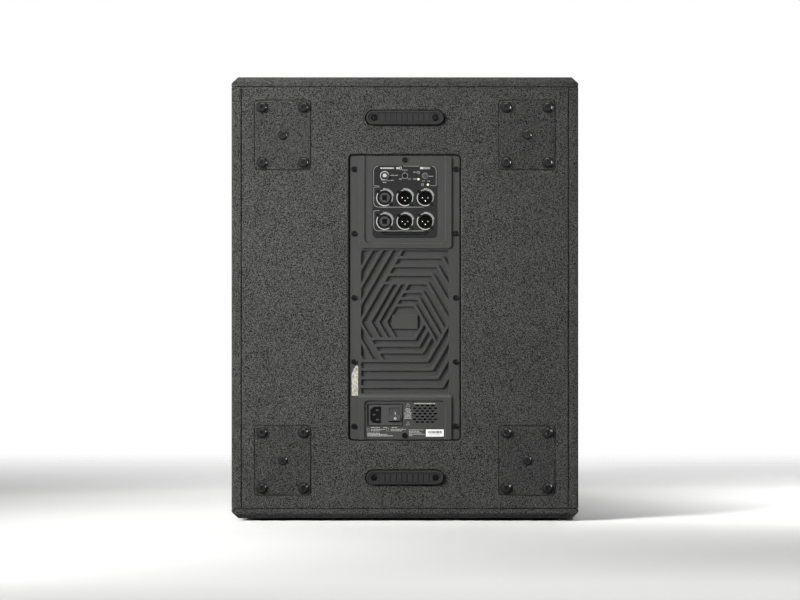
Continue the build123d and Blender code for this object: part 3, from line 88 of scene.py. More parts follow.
# ------------------------------------------------------------ shader helpers
def node(tree, kind, **values):
    made = tree.nodes.new(kind)
    for key, value in values.items():
        setattr(made, key, value)
    return made


def material(name):
    made = bpy.data.materials.new(name)
    made.use_nodes = True
    tree = made.node_tree
    tree.nodes.clear()
    out = node(tree, "ShaderNodeOutputMaterial")
    shader = node(tree, "ShaderNodeBsdfPrincipled")
    tree.links.new(shader.outputs["BSDF"], out.inputs["Surface"])
    return made, tree, shader


def noise(tree, scale, detail=3.0, rough=0.55, stretch=None):
    where = node(tree, "ShaderNodeTexCoord").outputs["Object"]
    if stretch:
        mapping = node(tree, "ShaderNodeMapping")
        mapping.inputs["Scale"].default_value = stretch
        tree.links.new(where, mapping.inputs["Vector"])
        where = mapping.outputs["Vector"]
    made = node(tree, "ShaderNodeTexNoise")
    made.inputs["Scale"].default_value = scale
    made.inputs["Detail"].default_value = detail
    made.inputs["Roughness"].default_value = rough
    tree.links.new(where, made.inputs["Vector"])
    return made.outputs["Fac"]


def spread(tree, source, low, high, to_low, to_high):
    made = node(tree, "ShaderNodeMapRange")
    for name, value in (("From Min", low), ("From Max", high), ("To Min", to_low), ("To Max", to_high)):
        made.inputs[name].default_value = value
    tree.links.new(source, made.inputs["Value"])
    return made.outputs["Result"]


def grey(value):
    return (value, value, value)


def blend_colours(tree, factor, first, second):
    made = node(tree, "ShaderNodeMix", data_type="RGBA")
    tree.links.new(factor, made.inputs["Factor"])
    for socket, value in ((made.inputs[6], first), (made.inputs[7], second)):
        if isinstance(value, tuple):
            socket.default_value = (*value, 1.0)
        else:
            tree.links.new(value, socket)
    return made.outputs[2]


def relief(tree, shader, height, distance, strength, edge=0.0):
    bump = node(tree, "ShaderNodeBump")
    bump.inputs["Strength"].default_value = strength
    bump.inputs["Distance"].default_value = distance
    tree.links.new(height, bump.inputs["Height"])
    if edge > 0:
        rounding = node(tree, "ShaderNodeBevel", samples=4)
        rounding.inputs["Radius"].default_value = edge
        tree.links.new(rounding.outputs["Normal"], bump.inputs["Normal"])
    tree.links.new(bump.outputs["Normal"], shader.inputs["Normal"])


def surface(
    name, colour, rough=0.5, metal=0.0, vary=0.25, grain=900.0, depth=0.00006, edge=0.0, shine=0.25
):
    """Plain finish with its own fine grain, wear in the roughness and slight colour change."""
    made, tree, shader = material(name)
    fine = noise(tree, grain, 3.0)
    wide = noise(tree, 22.0, 4.0)
    dark = tuple(c * (1 - vary) for c in colour)
    light = tuple(min(1.0, c * (1 + vary)) for c in colour)
    mixed = blend_colours(tree, spread(tree, fine, 0.3, 0.7, 0, 1), dark, light)
    tree.links.new(mixed, shader.inputs["Base Color"])
    roughness = spread(tree, wide, 0.3, 0.7, rough * 0.85, min(1, rough * 1.15))
    tree.links.new(roughness, shader.inputs["Roughness"])
    shader.inputs["Metallic"].default_value = metal
    shader.inputs["Specular IOR Level"].default_value = shine
    relief(tree, shader, fine, depth, 0.6, edge)
    return made


def grained_paint_with_painted_highlights(name, dark, light, edge, rough=0.6, grain=1050.0, depth=0.0007, strength=0.8):
    """Sprayed texture paint: round grains that stand up and catch the light, coloured lighter on the grain
    tops and darker between them, partly the paint's own grain tone and partly painted highlight and painted
    shade.
    """
    made, tree, shader = material(name)
    small = noise(tree, grain, 2.0, 0.6)
    where = node(tree, "ShaderNodeTexCoord").outputs["Object"]
    cells = node(tree, "ShaderNodeTexVoronoi")
    cells.inputs["Scale"].default_value = grain * 0.82
    tree.links.new(where, cells.inputs["Vector"])
    lumps = spread(tree, cells.outputs["Distance"], 0.15, 0.75, 1.0, 0.0)
    height = node(tree, "ShaderNodeMath", operation="MULTIPLY_ADD")
    tree.links.new(lumps, height.inputs[0])
    height.inputs[1].default_value = 0.45
    tree.links.new(small, height.inputs[2])
    # Colour follows grain height: lighter grain tops and darker hollows are partly the paint's own grain,
    # partly painted highlight on the tops and painted shade between them.
    factor = spread(tree, height.outputs[0], 0.55, 1.0, 0.0, 1.0)
    worn = noise(tree, 14.0, 4.0)
    base = blend_colours(tree, factor, dark, light)
    toned = node(tree, "ShaderNodeHueSaturation")
    tree.links.new(spread(tree, worn, 0.3, 0.7, 0.92, 1.08), toned.inputs["Value"])
    tree.links.new(base, toned.inputs["Color"])
    tree.links.new(toned.outputs["Color"], shader.inputs["Base Color"])
    tree.links.new(spread(tree, small, 0.3, 0.7, rough * 0.8, rough * 1.2), shader.inputs["Roughness"])
    shader.inputs["Specular IOR Level"].default_value = 0.05
    relief(tree, shader, height.outputs[0], depth, strength, edge)
    return made


# ------------------------------------------------------------ finishes
# Dark and light colours of the grained paints: the light one on the grain tops is partly painted highlight,
# the dark one between the grains partly painted shade.
cabinet_paint = grained_paint_with_painted_highlights("cabinet_paint", (0.005, 0.005, 0.0047), (0.09, 0.09, 0.087), 0.0016)
caster_paint = grained_paint_with_painted_highlights("caster_paint", (0.005, 0.005, 0.0048), (0.076, 0.076, 0.074), 0.0005)
casting_paint = surface(
    "casting_paint", (0.03, 0.03, 0.0295), 0.5, vary=0.22, grain=1400, depth=0.0001, edge=0.0005, shine=0.15
)
plate_paint = surface(
    "plate_paint", (0.010, 0.0101, 0.0103), 0.5, vary=0.15, grain=1800, edge=0.0004, shine=0.12
)
black_bolt = surface("black_bolt", grey(0.009), 0.16, vary=0.3, grain=1500, depth=0.00001, edge=0.0006)
screw_black = surface(
    "screw_black", grey(0.003), 0.18, vary=0.3, grain=1500, depth=0.00001, edge=0.0004, shine=0.15
)
rubber = surface("rubber", grey(0.016), 0.55, vary=0.2, grain=1200, depth=0.00008, edge=0.0006, shine=0.12)
black_plastic = surface("black_plastic", grey(0.016), 0.45, grain=1300, depth=0.0001, edge=0.0006)
connector = surface(
    "connector", (0.004, 0.004, 0.0042), 0.35, vary=0.3, grain=1500, edge=0.0004, shine=0.1
)
combo_black = surface("combo_black", grey(0.003), 0.4, vary=0.3, grain=1500, edge=0.0004, shine=0.1)
combo_grey = surface("combo_grey", grey(0.028), 0.3, vary=0.35, grain=1500, edge=0.0008)
module_plastic = surface("module_plastic", grey(0.035), 0.4, vary=0.2, grain=1500, edge=0.0005)
gloss_black = surface("gloss_black", grey(0.03), 0.25, vary=0.2, grain=1500, depth=0.00003, edge=0.0005)
pin_steel = surface("pin_steel", grey(0.16), 0.3, 1.0, 0.2, 1500, 0.00002, 0.0004)
contacts = surface("contacts", (0.8, 0.78, 0.72), 0.25, 1.0, 0.08, 1800, 0.00002, 0.0004)
plated = surface("plated", (0.62, 0.62, 0.61), 0.35, 1.0, 0.12, 900, 0.00003, 0.0004)
copper = surface("copper", (0.6, 0.28, 0.13), 0.35, 1.0, 0.2, 2400, 0.00005)
ferrite = surface("ferrite", grey(0.07), 0.6, vary=0.3, grain=700, depth=0.0002)
basket_paint = surface("basket_paint", (0.03, 0.03, 0.032), 0.4, grain=800, edge=0.001)
cone_paper = surface("cone_paper", (0.035, 0.034, 0.033), 0.85, vary=0.35, grain=420, depth=0.0003)
cloth = surface("cloth", (0.03, 0.028, 0.026), 0.9, vary=0.35, grain=1600, depth=0.0002)
foam = surface("foam", (0.1, 0.1, 0.105), 0.95, vary=0.4, grain=500, depth=0.0012)
# Near-black finish for painted shade: the sheet behind the fan vents and the line round the mains module.
painted_shade_black = surface("painted_shade_black", grey(0.002), 0.95, vary=0.3, grain=2400, depth=0.0001, shine=0.02)
baffle_black = surface("baffle_black", grey(0.012), 0.7, vary=0.3, grain=400, depth=0.0002)
plywood = surface("plywood", (0.5, 0.35, 0.2), 0.7, vary=0.2, grain=180, depth=0.0001)
board_green = surface("board_green", (0.005, 0.03, 0.014), 0.35, grain=600, depth=0.0001)
aluminium = surface("aluminium", (0.7, 0.7, 0.71), 0.35, 1.0, 0.08, 1500, 0.00003)
grille_paint = surface("grille_paint", (0.018, 0.018, 0.019), 0.4, grain=1200, depth=0.00008)
print_pale = surface("print_pale", (0.28, 0.28, 0.27), 0.6, vary=0.2, grain=1500, depth=0.00001)
print_dim = surface("print_dim", (0.15, 0.15, 0.146), 0.6, vary=0.2, grain=1500, depth=0.00001)
print_mid = surface("print_mid", (0.2, 0.2, 0.195), 0.6, vary=0.2, grain=1500, depth=0.00001)
print_dark = surface("print_dark", grey(0.04), 0.6, vary=0.2, grain=1500, depth=0.00001)
label_white = surface("label_white", (0.62, 0.62, 0.61), 0.5, vary=0.06, grain=900, depth=0.00001)
sticker_pale = surface("sticker_pale", (0.25, 0.247, 0.2), 0.55, vary=0.6, grain=420, depth=0.00004)


def lamp_lens(name, colour, glow, strength):
    """Small indicator lamp, lit or dark."""
    made, tree, shader = material(name)
    fine = noise(tree, 1500.0, 2.0)
    dark = tuple(c * 0.85 for c in colour)
    tree.links.new(blend_colours(tree, fine, dark, colour), shader.inputs["Base Color"])
    shader.inputs["Roughness"].default_value = 0.3
    shader.inputs["Emission Color"].default_value = (*glow, 1)
    shader.inputs["Emission Strength"].default_value = strength
    relief(tree, shader, fine, 0.00003, 0.4)
    return made


led_on = lamp_lens("led_on", (0.6, 0.65, 0.4), (0.78, 0.84, 0.5), 0.45)
led_off = lamp_lens("led_off", grey(0.03), grey(0), 0.0)

KNOB_CAP_DEPTH = 0.0037
KNOB_CAP_INNER, KNOB_CAP_OUTER = 0.0024, 0.003
KNOB_STEP_SOFTNESS = 0.0001


def knob_finish():
    """Black skirt with a grey cap, split at the step of the knob."""
    made, tree, shader = material("knob_finish")
    bottom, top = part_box("volume_knob")
    step = top.y - KNOB_CAP_DEPTH
    where = node(tree, "ShaderNodeTexCoord").outputs["Object"]
    centre = (bottom + top) / 2
    flat = node(tree, "ShaderNodeVectorMath", operation="MULTIPLY")
    tree.links.new(where, flat.inputs[0])
    flat.inputs[1].default_value = (1, 0, 1)
    reach = node(tree, "ShaderNodeVectorMath", operation="DISTANCE")
    tree.links.new(flat.outputs[0], reach.inputs[0])
    reach.inputs[1].default_value = (centre.x, 0, centre.z)
    inner = spread(tree, reach.outputs["Value"], KNOB_CAP_INNER, KNOB_CAP_OUTER, 1, 0)
    axes = node(tree, "ShaderNodeSeparateXYZ")
    tree.links.new(where, axes.inputs[0])
    raised = spread(tree, axes.outputs["Y"], step - KNOB_STEP_SOFTNESS, step + KNOB_STEP_SOFTNESS, 0, 1)
    above = node(tree, "ShaderNodeMath", operation="MULTIPLY")
    tree.links.new(raised, above.inputs[0])
    tree.links.new(inner, above.inputs[1])
    fine = noise(tree, 1600.0, 3.0)
    skirt = blend_colours(tree, fine, grey(0.006), grey(0.014))
    cap = blend_colours(tree, fine, (0.22, 0.22, 0.21), (0.34, 0.34, 0.33))
    tree.links.new(blend_colours(tree, above.outputs[0], skirt, cap), shader.inputs["Base Color"])
    shader.inputs["Roughness"].default_value = 0.45
    relief(tree, shader, fine, 0.00004, 0.5, 0.0003)
    return made


SIDES = ("left", "right")
CORNERS = ("upper_left", "upper_right", "lower_left", "lower_right")
FINISHES = (
    (cabinet_paint, ["top_panel", "bottom_panel", "rear_panel", *(f"{side}_side_panel" for side in SIDES)]),
    (caster_paint, [f"caster_plate_{corner}" for corner in CORNERS]),
    (baffle_black, ["front_baffle", "grille_battens"]),
    (plywood, ["window_brace"]),
    (foam, ["damping_foam"]),
    (grille_paint, ["grille"]),
    (black_plastic, ["left_port", "right_port", "left_handle", "right_handle", "fan_frame", "fan_rotor"]),
    (basket_paint, ["woofer_basket", "pole_socket"]),
    (rubber, ["woofer_gasket", "feet", "upper_bumper", "lower_bumper", "amp_gasket"]),
    (cloth, ["woofer_surround", "woofer_spider"]),
    (cone_paper, ["woofer_cone", "dust_cap"]),
    (copper, ["voice_coil"]),
    (plated, ["woofer_top_plate", "woofer_yoke", "caster_nuts"]),
    (ferrite, ["woofer_magnet"]),
    (screw_black, ["grille_screws", "woofer_bolts", "cabinet_screws", "bumper_screws", "amp_screws"]),
    (screw_black, ["connector_screws"]),
    (black_bolt, ["caster_bolts", "caster_centre_screws"]),
    (casting_paint, ["amp_panel"]),
    (plate_paint, ["input_plate"]),
    (knob_finish(), ["volume_knob"]),
    (connector, ["mode_selector", "xlr_outputs"]),
    (module_plastic, ["phase_button", "mains_module"]),
    (led_on, ["lit_leds"]),
    (led_off, ["unlit_leds"]),
    (combo_grey, ["combo_inputs"]),
    (contacts, ["xlr_pins"]),
    (pin_steel, ["inlet_pins"]),
    (gloss_black, ["power_rocker"]),
    (board_green, ["input_board", "power_board"]),
    (aluminium, ["amp_cover"]),
)
for finish, names in FINISHES:
    for name in names:
        mesh = frame["nodes"][name].data
        mesh.materials.clear()
        mesh.materials.append(finish)


# ------------------------------------------------------------ flat marks on the rear panel
def strip(u0, v0, u1, v1, width):
    """Four corners of a thin line between two points."""
    length = math.hypot(u1 - u0, v1 - v0)
    a, b = -(v1 - v0) / length * width / 2, (u1 - u0) / length * width / 2
    return [(u0 - a, v0 - b), (u1 - a, v1 - b), (u1 + a, v1 + b), (u0 + a, v0 + b)]


def box_at(u0, v0, u1, v1):
    return [(u0, v0), (u1, v0), (u1, v1), (u0, v1)]


def open_box(u0, v0, u1, v1, width):
    """Four thin lines round an open box."""
    ends = ((u0, v0, u1, v0), (u0, v1, u1, v1), (u0, v0, u0, v1), (u1, v0, u1, v1))
    return [strip(*points, width) for points in ends]


def arc(u, v, inner, outer, start, end, steps=24):
    """Short four-sided faces along a ring, angles counter-clockwise from the right."""
    faces = []
    for n in range(steps):
        a0 = math.radians(start + (end - start) * n / steps)
        a1 = math.radians(start + (end - start) * (n + 1) / steps)
        corners = [(inner, a0), (outer, a0), (outer, a1), (inner, a1)]
        faces.append([(u + r * math.cos(a), v + r * math.sin(a)) for r, a in corners])
    return faces


def ring(u, v, inner, outer, steps):
    return arc(u, v, inner, outer, 0, 360, steps)


SHORTEST_DASH, LONGEST_DASH, LAST_DASH = 0.7, 2.6, 0.6


def dashes(u0, u1, v, height, seed, gap=0.5):
    """A row of short bars of uneven length that stands for small print."""
    pick = random.Random(seed)
    faces = []
    u = u0
    while u < u1 - LAST_DASH:
        run = min(pick.uniform(SHORTEST_DASH, LONGEST_DASH), u1 - u)
        faces.append(box_at(u, v - height / 2, u + run, v + height / 2))
        u += run + gap * pick.uniform(0.7, 1.4)
    return faces


def finished(name, build, finish):
    """Object made from a bmesh, with one material."""
    mesh = bpy.data.meshes.new(name)
    build.to_mesh(mesh)
    build.free()
    made = bpy.data.objects.new(name, mesh)
    bpy.context.scene.collection.objects.link(made)
    mesh.materials.append(finish)
    return made


def marks(name, faces, level, finish, body="cabinet", place=None):
    """One thin mesh of flat marks, level in mm outwards from the rear face."""
    put = place or (lambda u, v: at(u, v, level))
    build = bmesh.new()
    for face in faces:
        corners = [build.verts.new(put(u, v)) for u, v in face]
        build.faces.new(corners)
    made = finished(name, build, finish)
    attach(made, body)


# Input plate. Every u, v, width and radius from here on is in mm.
ON_PLATE = PLATE + MARK
COLUMNS = (-29.4, 0.0, 29.4)
ROWS = (144.7, 110.4)
CONTROL_V = 176.6
LINE = 0.75
TICK = 0.6
BEND = 6.5  # radius of the corners of the printed outlines
BOX_SIDE, BOX_TOP, BOX_FOOT = 45.3, 190.5, 162.2
ROW_SIDE, ROW_FOOT = 45.0, 13.6
SMALL_BEND = 1.4


def bend(u, v, radius, start, steps=10):
    """Quarter turn of a printed line."""
    return arc(u, v, radius - LINE / 2, radius + LINE / 2, start, start + 90, steps)


bend_u, bend_v = BOX_SIDE - BEND, BOX_TOP - BEND
outline = []
outline.append(strip(-BOX_SIDE, 163.5, -BOX_SIDE, bend_v, LINE))
outline += bend(-bend_u, bend_v, BEND, 90)
outline.append(strip(-2.5, BOX_TOP, 21.0, BOX_TOP, LINE))
outline += bend(bend_u, bend_v, BEND, 0)
outline.append(strip(BOX_SIDE, 163.2, BOX_SIDE, bend_v, LINE))
outline += bend(BOX_SIDE - SMALL_BEND, BOX_FOOT + SMALL_BEND, SMALL_BEND, 270, 5)
outline.append(strip(36.5, BOX_FOOT, BOX_SIDE - SMALL_BEND, BOX_FOOT, LINE))
outline.append(strip(-BOX_SIDE, BOX_FOOT, -37.0, 161.6, LINE))
for row in ROWS:
    bottom = row - ROW_FOOT
    outline.append(strip(-ROW_SIDE, bottom + BEND, -ROW_SIDE, row + 15.0, LINE))
    outline += bend(BEND - ROW_SIDE, bottom + BEND, BEND, 180)
    outline.append(strip(BEND - ROW_SIDE, bottom, 27.5, bottom, LINE))
    outline.append(strip(-ROW_SIDE, row + 15.2, -36.8, row + 15.8, LINE))
marks("plate_outlines", outline, ON_PLATE, print_dim)

RING_INNER, RING_OUTER = 10.95, 12.1
rings = []
right_rings = []
for u in COLUMNS:
    for v in ROWS:
        rings += arc(u, v, RING_INNER, RING_OUTER, 147, 302, 40)
        right_rings += arc(u, v, RING_INNER, RING_OUTER, 330, 480, 40)
rings += ring(COLUMNS[0], CONTROL_V, 5.7, 6.7, 48)
marks("connector_rings", rings, ON_PLATE, print_pale)
marks("connector_rings_right", right_rings, ON_PLATE, print_mid)

black_rings = []
for v in ROWS:
    black_rings += ring(COLUMNS[0], v, 7.4, 10.3, 48)
marks("combo_rings", black_rings, PLATE - 0.3 + MARK, combo_black)

small = []
small += ring(COLUMNS[1], CONTROL_V, 3.7, 4.4, 32)
small += ring(COLUMNS[2], CONTROL_V, 3.6, 4.3, 32)
TICKS = (
    (0, 181.0, 0, 183.0),
    (-3.4, 173.6, -5.2, 171.9),
    (3.4, 173.6, 5.2, 171.9),
    (-34.4, 171.2, -32.4, 169.2),
    (-26.5, 170.0, -25.2, 168.7),
)
small += [strip(*ends, TICK) for ends in TICKS]
for u, v in ((19.7, 181.2), (25.5, 163.7)):
    small += ring(u, v, 1.75, 2.25, 16)
marks("control_rings", small, ON_PLATE, print_dim)

# Each row: from, to, centre line, height.
CONTROL_WORDS = (
    (-21.8, -10.0, 177.2, 1.1),
    (-24.8, -16.0, 169.9, 1.1),
    (-31.8, -26.6, 167.0, 1.1),
    (-4.2, 4.6, 184.9, 1.1),
    (-8.6, -4.8, 171.8, 1.3),
    (4.4, 9.4, 171.8, 1.3),
    (12.4, 17.0, 181.8, 1.3),
    (12.0, 17.2, 171.8, 1.4),
    (34.6, 41.0, 175.8, 1.2),
    (24.6, 29.6, 168.9, 1.0),
    (32.6, 36.6, 168.9, 1.0),
)
words = []
for seed, word in enumerate(CONTROL_WORDS, 3):
    words += dashes(*word, seed)
marks("control_words", words, ON_PLATE, print_mid)

HEADING_V, HEADING_FOOT, HEADING_TOP = 187.6, 186.0, 189.4
headings = dashes(-35.3, -16.0, HEADING_V, 2.1, 2, 0.3)
headings += [box_at(-12.6, 186.2, -9.0, 189.0), box_at(22.0, HEADING_FOOT, 27.0, HEADING_TOP)]
headings += ring(-6.6, HEADING_V, 1.2, 2.3, 20)
marks("plain_headings", headings, ON_PLATE, print_pale)
marks("plain_heading_box", [box_at(27.6, HEADING_FOOT, 36.4, HEADING_TOP)], ON_PLATE, print_dim)

WORD_STEPS, WORD_GAP = 36, 4  # every fourth step of the arc is a gap
arcs = []
for u in COLUMNS:
    for v in ROWS:
        whole = arc(u, v, 12.4, 13.9, 14, 100, WORD_STEPS)
        arcs += [face for n, face in enumerate(whole) if n % WORD_GAP != WORD_GAP - 1]
marks("connector_words", arcs, ON_PLATE, print_mid)

# Lower tray: rows of plain dashes round the mains module, and a narrow column under a sign.
SIGN_U = 4.5
lower = []
for seed, (start, end) in enumerate(((-49.2, -36.2), (-31.0, -25.9), (-19.0, -11.0)), 20):
    lower += dashes(start, end, -188.0, 1.0, seed)
for n, (start, end) in enumerate(((-48.8, -28.8), (-20.6, 1.6))):
    lower += dashes(start, end, -190.6, 0.9, 30 + n)
    lower += dashes(start, end - 6, -192.7, 0.9, 40 + n)
for n, end in enumerate((-36.2, -25.6, -17.6)):
    lower += dashes(-54.2, end, -196.2 - 1.9 * n, 1.1, 50 + n)
for n, end in enumerate((26.8, 21.0, 24.0, 29.0, 11.0)):
    lower += dashes(5.8, end, -191.4 - 2.1 * n, 0.9, 60 + n)
lower += dashes(13.4, 44.6, -153.2, 1.3, 70)
for n, half in enumerate((3.4, 4.6, 3.2, 5.0, 5.6, 4.2, 4.8, 5.6)):
    lower += dashes(SIGN_U - half, SIGN_U + half, -160.6 - 2.0 * n, 1.0, 80 + n)
marks("lower_words", lower, TRAY + MARK, print_pale)

TRIANGLE_HALF, TRIANGLE_HEIGHT, SQUARE_HALF = 2.7, 4.6, 1.7
signs = []
for tip in (-152.8, -179.6):
    base = tip - TRIANGLE_HEIGHT
    points = ((SIGN_U, tip), (SIGN_U - TRIANGLE_HALF, base), (SIGN_U + TRIANGLE_HALF, base))
    for n in range(3):
        signs.append(strip(*points[n], *points[(n + 1) % 3], 0.7))
for u in (-53.0, -25.2):
    signs += open_box(u - SQUARE_HALF, -193.0, u + SQUARE_HALF, -189.2, 0.5)
marks("lower_symbols", signs, TRAY + MARK, print_dim)

# Painted shade: a near-black flat sheet set behind the fan vents so that the holes show dark, standing for
# the shade inside them.
VENT_SHADE_HALF_WIDTH, VENT_SHADE_HALF_HEIGHT, VENT_SHADE_DEPTH = 18.3, 16.3, 3.2
fan_low, fan_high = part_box("fan_frame")
fan_u, fan_v = -(fan_low.x + fan_high.x) / 2 / MM, ((fan_low.z + fan_high.z) / 2 - MID) / MM
vent_shade = box_at(
    fan_u - VENT_SHADE_HALF_WIDTH,
    fan_v - VENT_SHADE_HALF_HEIGHT,
    fan_u + VENT_SHADE_HALF_WIDTH,
    fan_v + VENT_SHADE_HALF_HEIGHT,
)
marks("painted_vent_shade", [vent_shade], TRAY - VENT_SHADE_DEPTH, painted_shade_black)

# Painted shade: a near-black line round the mains module, standing for the shade in the gap between module
# and tray.
GAP_OFFSET, GAP_SHADE_LINE = 0.4, 0.9
module_low, module_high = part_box("mains_module")
u0, u1 = -module_high.x / MM - GAP_OFFSET, -module_low.x / MM + GAP_OFFSET
v0, v1 = (module_low.z - MID) / MM - GAP_OFFSET, (module_high.z - MID) / MM + GAP_OFFSET
marks("painted_module_gap_shade", open_box(u0, v0, u1, v1, GAP_SHADE_LINE), TRAY + MARK / 2, painted_shade_black)

BAR_FOOT, BAR_TOP, BARS_FROM, BARS_TO = -196.6, -192.8, 33.6, 53.0
marks("rating_label", [box_at(30.5, -201.0, 56.2, -190.8)], TRAY + MARK, label_white)
bars = []
pick = random.Random(5)
place = BARS_FROM
while place < BARS_TO:
    wide = pick.uniform(0.35, 1.1)
    bars.append(box_at(place, BAR_FOOT, place + wide, BAR_TOP))
    place += wide + pick.uniform(0.3, 0.6)
bars += dashes(35.5, 50.5, -198.6, 0.9, 90)
marks("label_bars", bars, TRAY + 2 * MARK, print_dark)

torn = [
    (-77.0, -141.8),
    (-67.8, -141.8),
    (-67.8, -98.4),
    (-71.2, -98.2),
    (-72.0, -101.0),
    (-74.3, -103.4),
    (-75.2, -107.2),
    (-77.0, -109.6),
]
marks("plain_sticker", [torn], FLANGE + MARK, sticker_pale)

# ------------------------------------------------------------ marks on the rocker
ROCKER_FACE = 0.0026  # from the hinge to the valley between the two faces
ROCKER_MARK = 0.00012
hinge = next(j for j in frame["joints"] if j["name"] == "rocker_tip")["pos_m"]
tilt = math.radians(11)
face_y = hinge[1] + ROCKER_FACE * math.cos(tilt)
valley_z = hinge[2] + ROCKER_FACE * math.sin(tilt)


def on_rocker(u, v):
    """Point on the rocker as it lies at rest, with its lower face tilted out."""
    spot = at(u, v, 0)
    slope = max(0.0, valley_z - spot.z) * math.tan(2 * tilt)
    return Vector((spot.x, face_y + slope + ROCKER_MARK, spot.z))


on_and_off = [box_at(-14.5, -169.4, -13.5, -166.0)] + ring(-14.0, -174.6, 1.15, 1.85, 24)
marks("rocker_marks", on_and_off, 0, print_pale, "power_rocker_body", on_rocker)


# ------------------------------------------------------------ perforated grille
def walls(build, loops):
    """Four-sided faces between each closed loop and the next. A loop is its (x, z) points and its y."""
    made = [[build.verts.new((x, y, z)) for x, z in points] for points, y in loops]
    for first, second in zip(made, made[1:]):
        count = len(first)
        for n in range(count):
            m = (n + 1) % count
            build.faces.new([first[n], first[m], second[m], second[n]])


def perforated(name, node_name, pitch, hole, border):
    """Thin sheet with a hexagonal field of holes, the size of the node it stands for."""
    near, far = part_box(node_name)
    width, height = far.x - near.x, far.z - near.z
    centre_x, centre_z = (near.x + far.x) / 2, (near.z + far.z) / 2
    front_y, back_y = near.y, far.y
    sides = 6
    shift = 0.25  # odd and even rows stand half a pitch apart, evenly about the middle
    step_z = pitch * math.sqrt(3) / 2
    rows = int((height - 2 * border) / step_z / 2)
    columns = int((width - 2 * border) / pitch / 2) - 1
    cell = pitch / math.sqrt(3)
    build = bmesh.new()
    for row in range(-rows, rows + 1):
        for column in range(-columns, columns + 1):
            x = centre_x + (column + (shift if row % 2 else -shift)) * pitch
            z = centre_z + row * step_z
            rim, edge = [], []
            for n in range(sides):
                angle = math.radians(60 * n + 30)
                rim.append((x + hole * math.cos(angle), z + hole * math.sin(angle)))
                edge.append((x + cell * math.cos(angle), z + cell * math.sin(angle)))
            walls(build, ((edge, front_y), (rim, front_y), (rim, back_y), (edge, back_y)))
    field_w = (columns + shift) * pitch
    field_h = rows * step_z
    outer = [(near.x, near.z), (far.x, near.z), (far.x, far.z), (near.x, far.z)]
    inner = [
        (centre_x - field_w, centre_z - field_h),
        (centre_x + field_w, centre_z - field_h),
        (centre_x + field_w, centre_z + field_h),
        (centre_x - field_w, centre_z + field_h),
    ]
    walls(build, ((inner, front_y), (outer, front_y), (outer, back_y), (inner, back_y)))
    bmesh.ops.remove_doubles(build, verts=build.verts, dist=0.00002)
    bmesh.ops.recalc_face_normals(build, faces=build.faces)
    made = finished(name, build, grille_paint)
    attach(made, "cabinet")
    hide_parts(node_name)


perforated("grille_mesh", "grille", 0.010, 0.0038, 0.009)


# ------------------------------------------------------------ floor, light and background
def floor_material():
    """Pale matt floor, painted darker near the object where the key lamp's light falls (painted shade) and
    lighter further off in front and behind (painted light). It fades out far off, and lights the object
    less than the camera sees it.
    """
    made = bpy.data.materials.new("studio_floor")
    made.use_nodes = True
    tree = made.node_tree
    tree.nodes.clear()
    out = node(tree, "ShaderNodeOutputMaterial")
    shader = node(tree, "ShaderNodeBsdfDiffuse")
    clear = node(tree, "ShaderNodeBsdfTransparent")
    join = node(tree, "ShaderNodeMixShader")
    patch = spread(tree, noise(tree, 1.2, 3.0), 0.35, 0.65, 0, 1)
    where = node(tree, "ShaderNodeTexCoord").outputs["Object"]
    axes = node(tree, "ShaderNodeSeparateXYZ")
    tree.links.new(where, axes.inputs[0])
    # Painted shade and light on the floor: the near colour lies where the key lamp's light pool falls, the
    # brighter outer colour where less lamp light reaches.
    near = blend_colours(tree, patch, (0.63, 0.63, 0.62), (0.65, 0.65, 0.64))
    outer = node(tree, "ShaderNodeMath", operation="MAXIMUM")
    tree.links.new(spread(tree, axes.outputs["Y"], -0.2, 0.4, 1.0, 0.0), outer.inputs[0])
    tree.links.new(spread(tree, axes.outputs["Y"], 0.5, 1.2, 0.0, 1.0), outer.inputs[1])
    floor_with_painted_light = blend_colours(tree, outer.outputs[0], near, (0.87, 0.87, 0.865))
    seen = node(tree, "ShaderNodeLightPath").outputs["Is Camera Ray"]
    tree.links.new(blend_colours(tree, seen, grey(0.3), floor_with_painted_light), shader.inputs["Color"])
    reach = node(tree, "ShaderNodeVectorMath", operation="LENGTH")
    tree.links.new(where, reach.inputs[0])
    away = node(tree, "ShaderNodeMath", operation="MAXIMUM")
    tree.links.new(spread(tree, axes.outputs["Y"], -1.5, -0.4, 1.0, 0.0), away.inputs[0])
    tree.links.new(spread(tree, reach.outputs["Value"], 1.6, 3.0, 0.0, 1.0), away.inputs[1])
    tree.links.new(away.outputs[0], join.inputs["Fac"])
    tree.links.new(shader.outputs[0], join.inputs[1])
    tree.links.new(clear.outputs[0], join.inputs[2])
    tree.links.new(join.outputs[0], out.inputs["Surface"])
    return made


build = bmesh.new()
for x, y in ((-6, -6), (6, -6), (6, 8), (-6, 8)):
    build.verts.new((x, y, 0))
build.faces.new(build.verts)
floor = finished("floor", build, floor_material())


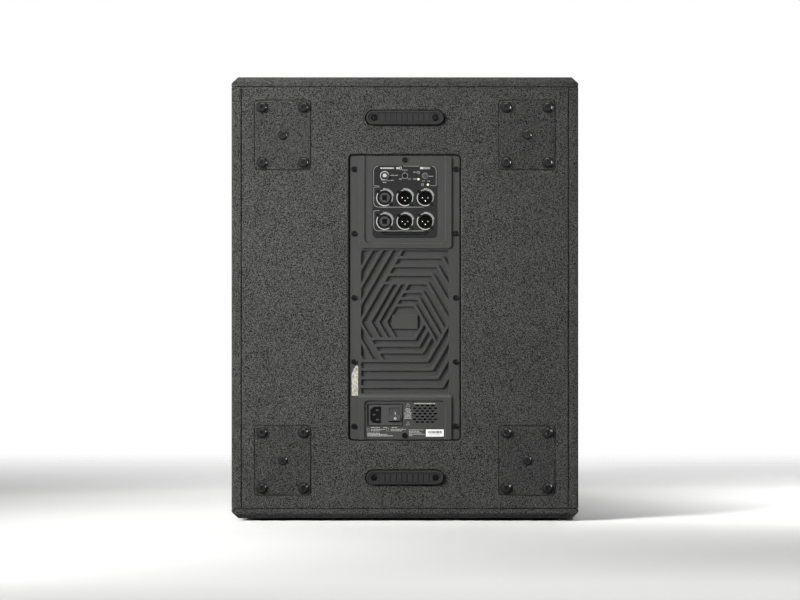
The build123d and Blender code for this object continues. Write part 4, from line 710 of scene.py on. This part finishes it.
def softbox(name, place, target, width, height, power, spread_angle, kind):
    """Area lamp. A matt one makes no reflections, and a glint one makes nothing else."""
    data = bpy.data.lights.new(name, "AREA")
    data.shape = "RECTANGLE"
    data.size = width
    data.size_y = height
    data.energy = power
    data.spread = math.radians(spread_angle)
    made = bpy.data.objects.new(name, data)
    made.location = place
    made.visible_glossy = kind == "glint"
    made.visible_diffuse = kind == "matt"
    direction = Vector(target) - Vector(place)
    made.rotation_euler = direction.to_track_quat("-Z", "Y").to_euler()
    bpy.context.scene.collection.objects.link(made)


softbox("key", (1.15, REAR + 0.8, 0.85), (0.14, REAR, 0.42), 0.75, 1.25, 16, 62, "matt")
softbox("overhead", (0.1, REAR + 0.9, 2.7), (0.0, REAR + 0.4, 0.0), 2.8, 1.2, 5.5, 180, "matt")
softbox("floor_right", (-1.0, REAR - 0.35, 1.5), (-1.0, REAR - 0.35, 0.0), 0.8, 0.8, 4.5, 60, "matt")
softbox("floor_front", (0.0, REAR + 1.0, 1.1), (0.0, REAR + 1.0, 0.0), 2.6, 0.3, 3.3, 66, "matt")
softbox("back_fill", (0.0, -1.0, 2.6), (0.0, -0.6, 0.0), 2.6, 1.0, 30, 180, "matt")
softbox("glint_side", (-1.0, REAR + 0.45, 0.58), (0, REAR, 0.4), 0.45, 0.45, 36, 180, "glint")
softbox("glint_top", (0.0, REAR + 0.32, 1.6), (0, REAR, 0.5), 1.0, 0.3, 17, 180, "glint")

AMBIENT = 0.14

world = bpy.data.worlds.new("studio")
bpy.context.scene.world = world
world.use_nodes = True
tree = world.node_tree
tree.nodes.clear()
out = node(tree, "ShaderNodeOutputWorld")
back = node(tree, "ShaderNodeBackground")
path = node(tree, "ShaderNodeLightPath")
tree.links.new(back.outputs[0], out.inputs["Surface"])
seen = path.outputs["Is Camera Ray"]
for ray in ("Is Glossy Ray", "Is Transmission Ray"):
    either = node(tree, "ShaderNodeMath", operation="MAXIMUM")
    tree.links.new(seen, either.inputs[0])
    tree.links.new(path.outputs[ray], either.inputs[1])
    seen = either.outputs[0]
tree.links.new(spread(tree, seen, 0, 1, AMBIENT, 1.0), back.inputs["Strength"])
back.inputs["Color"].default_value = (1, 1, 1, 1)
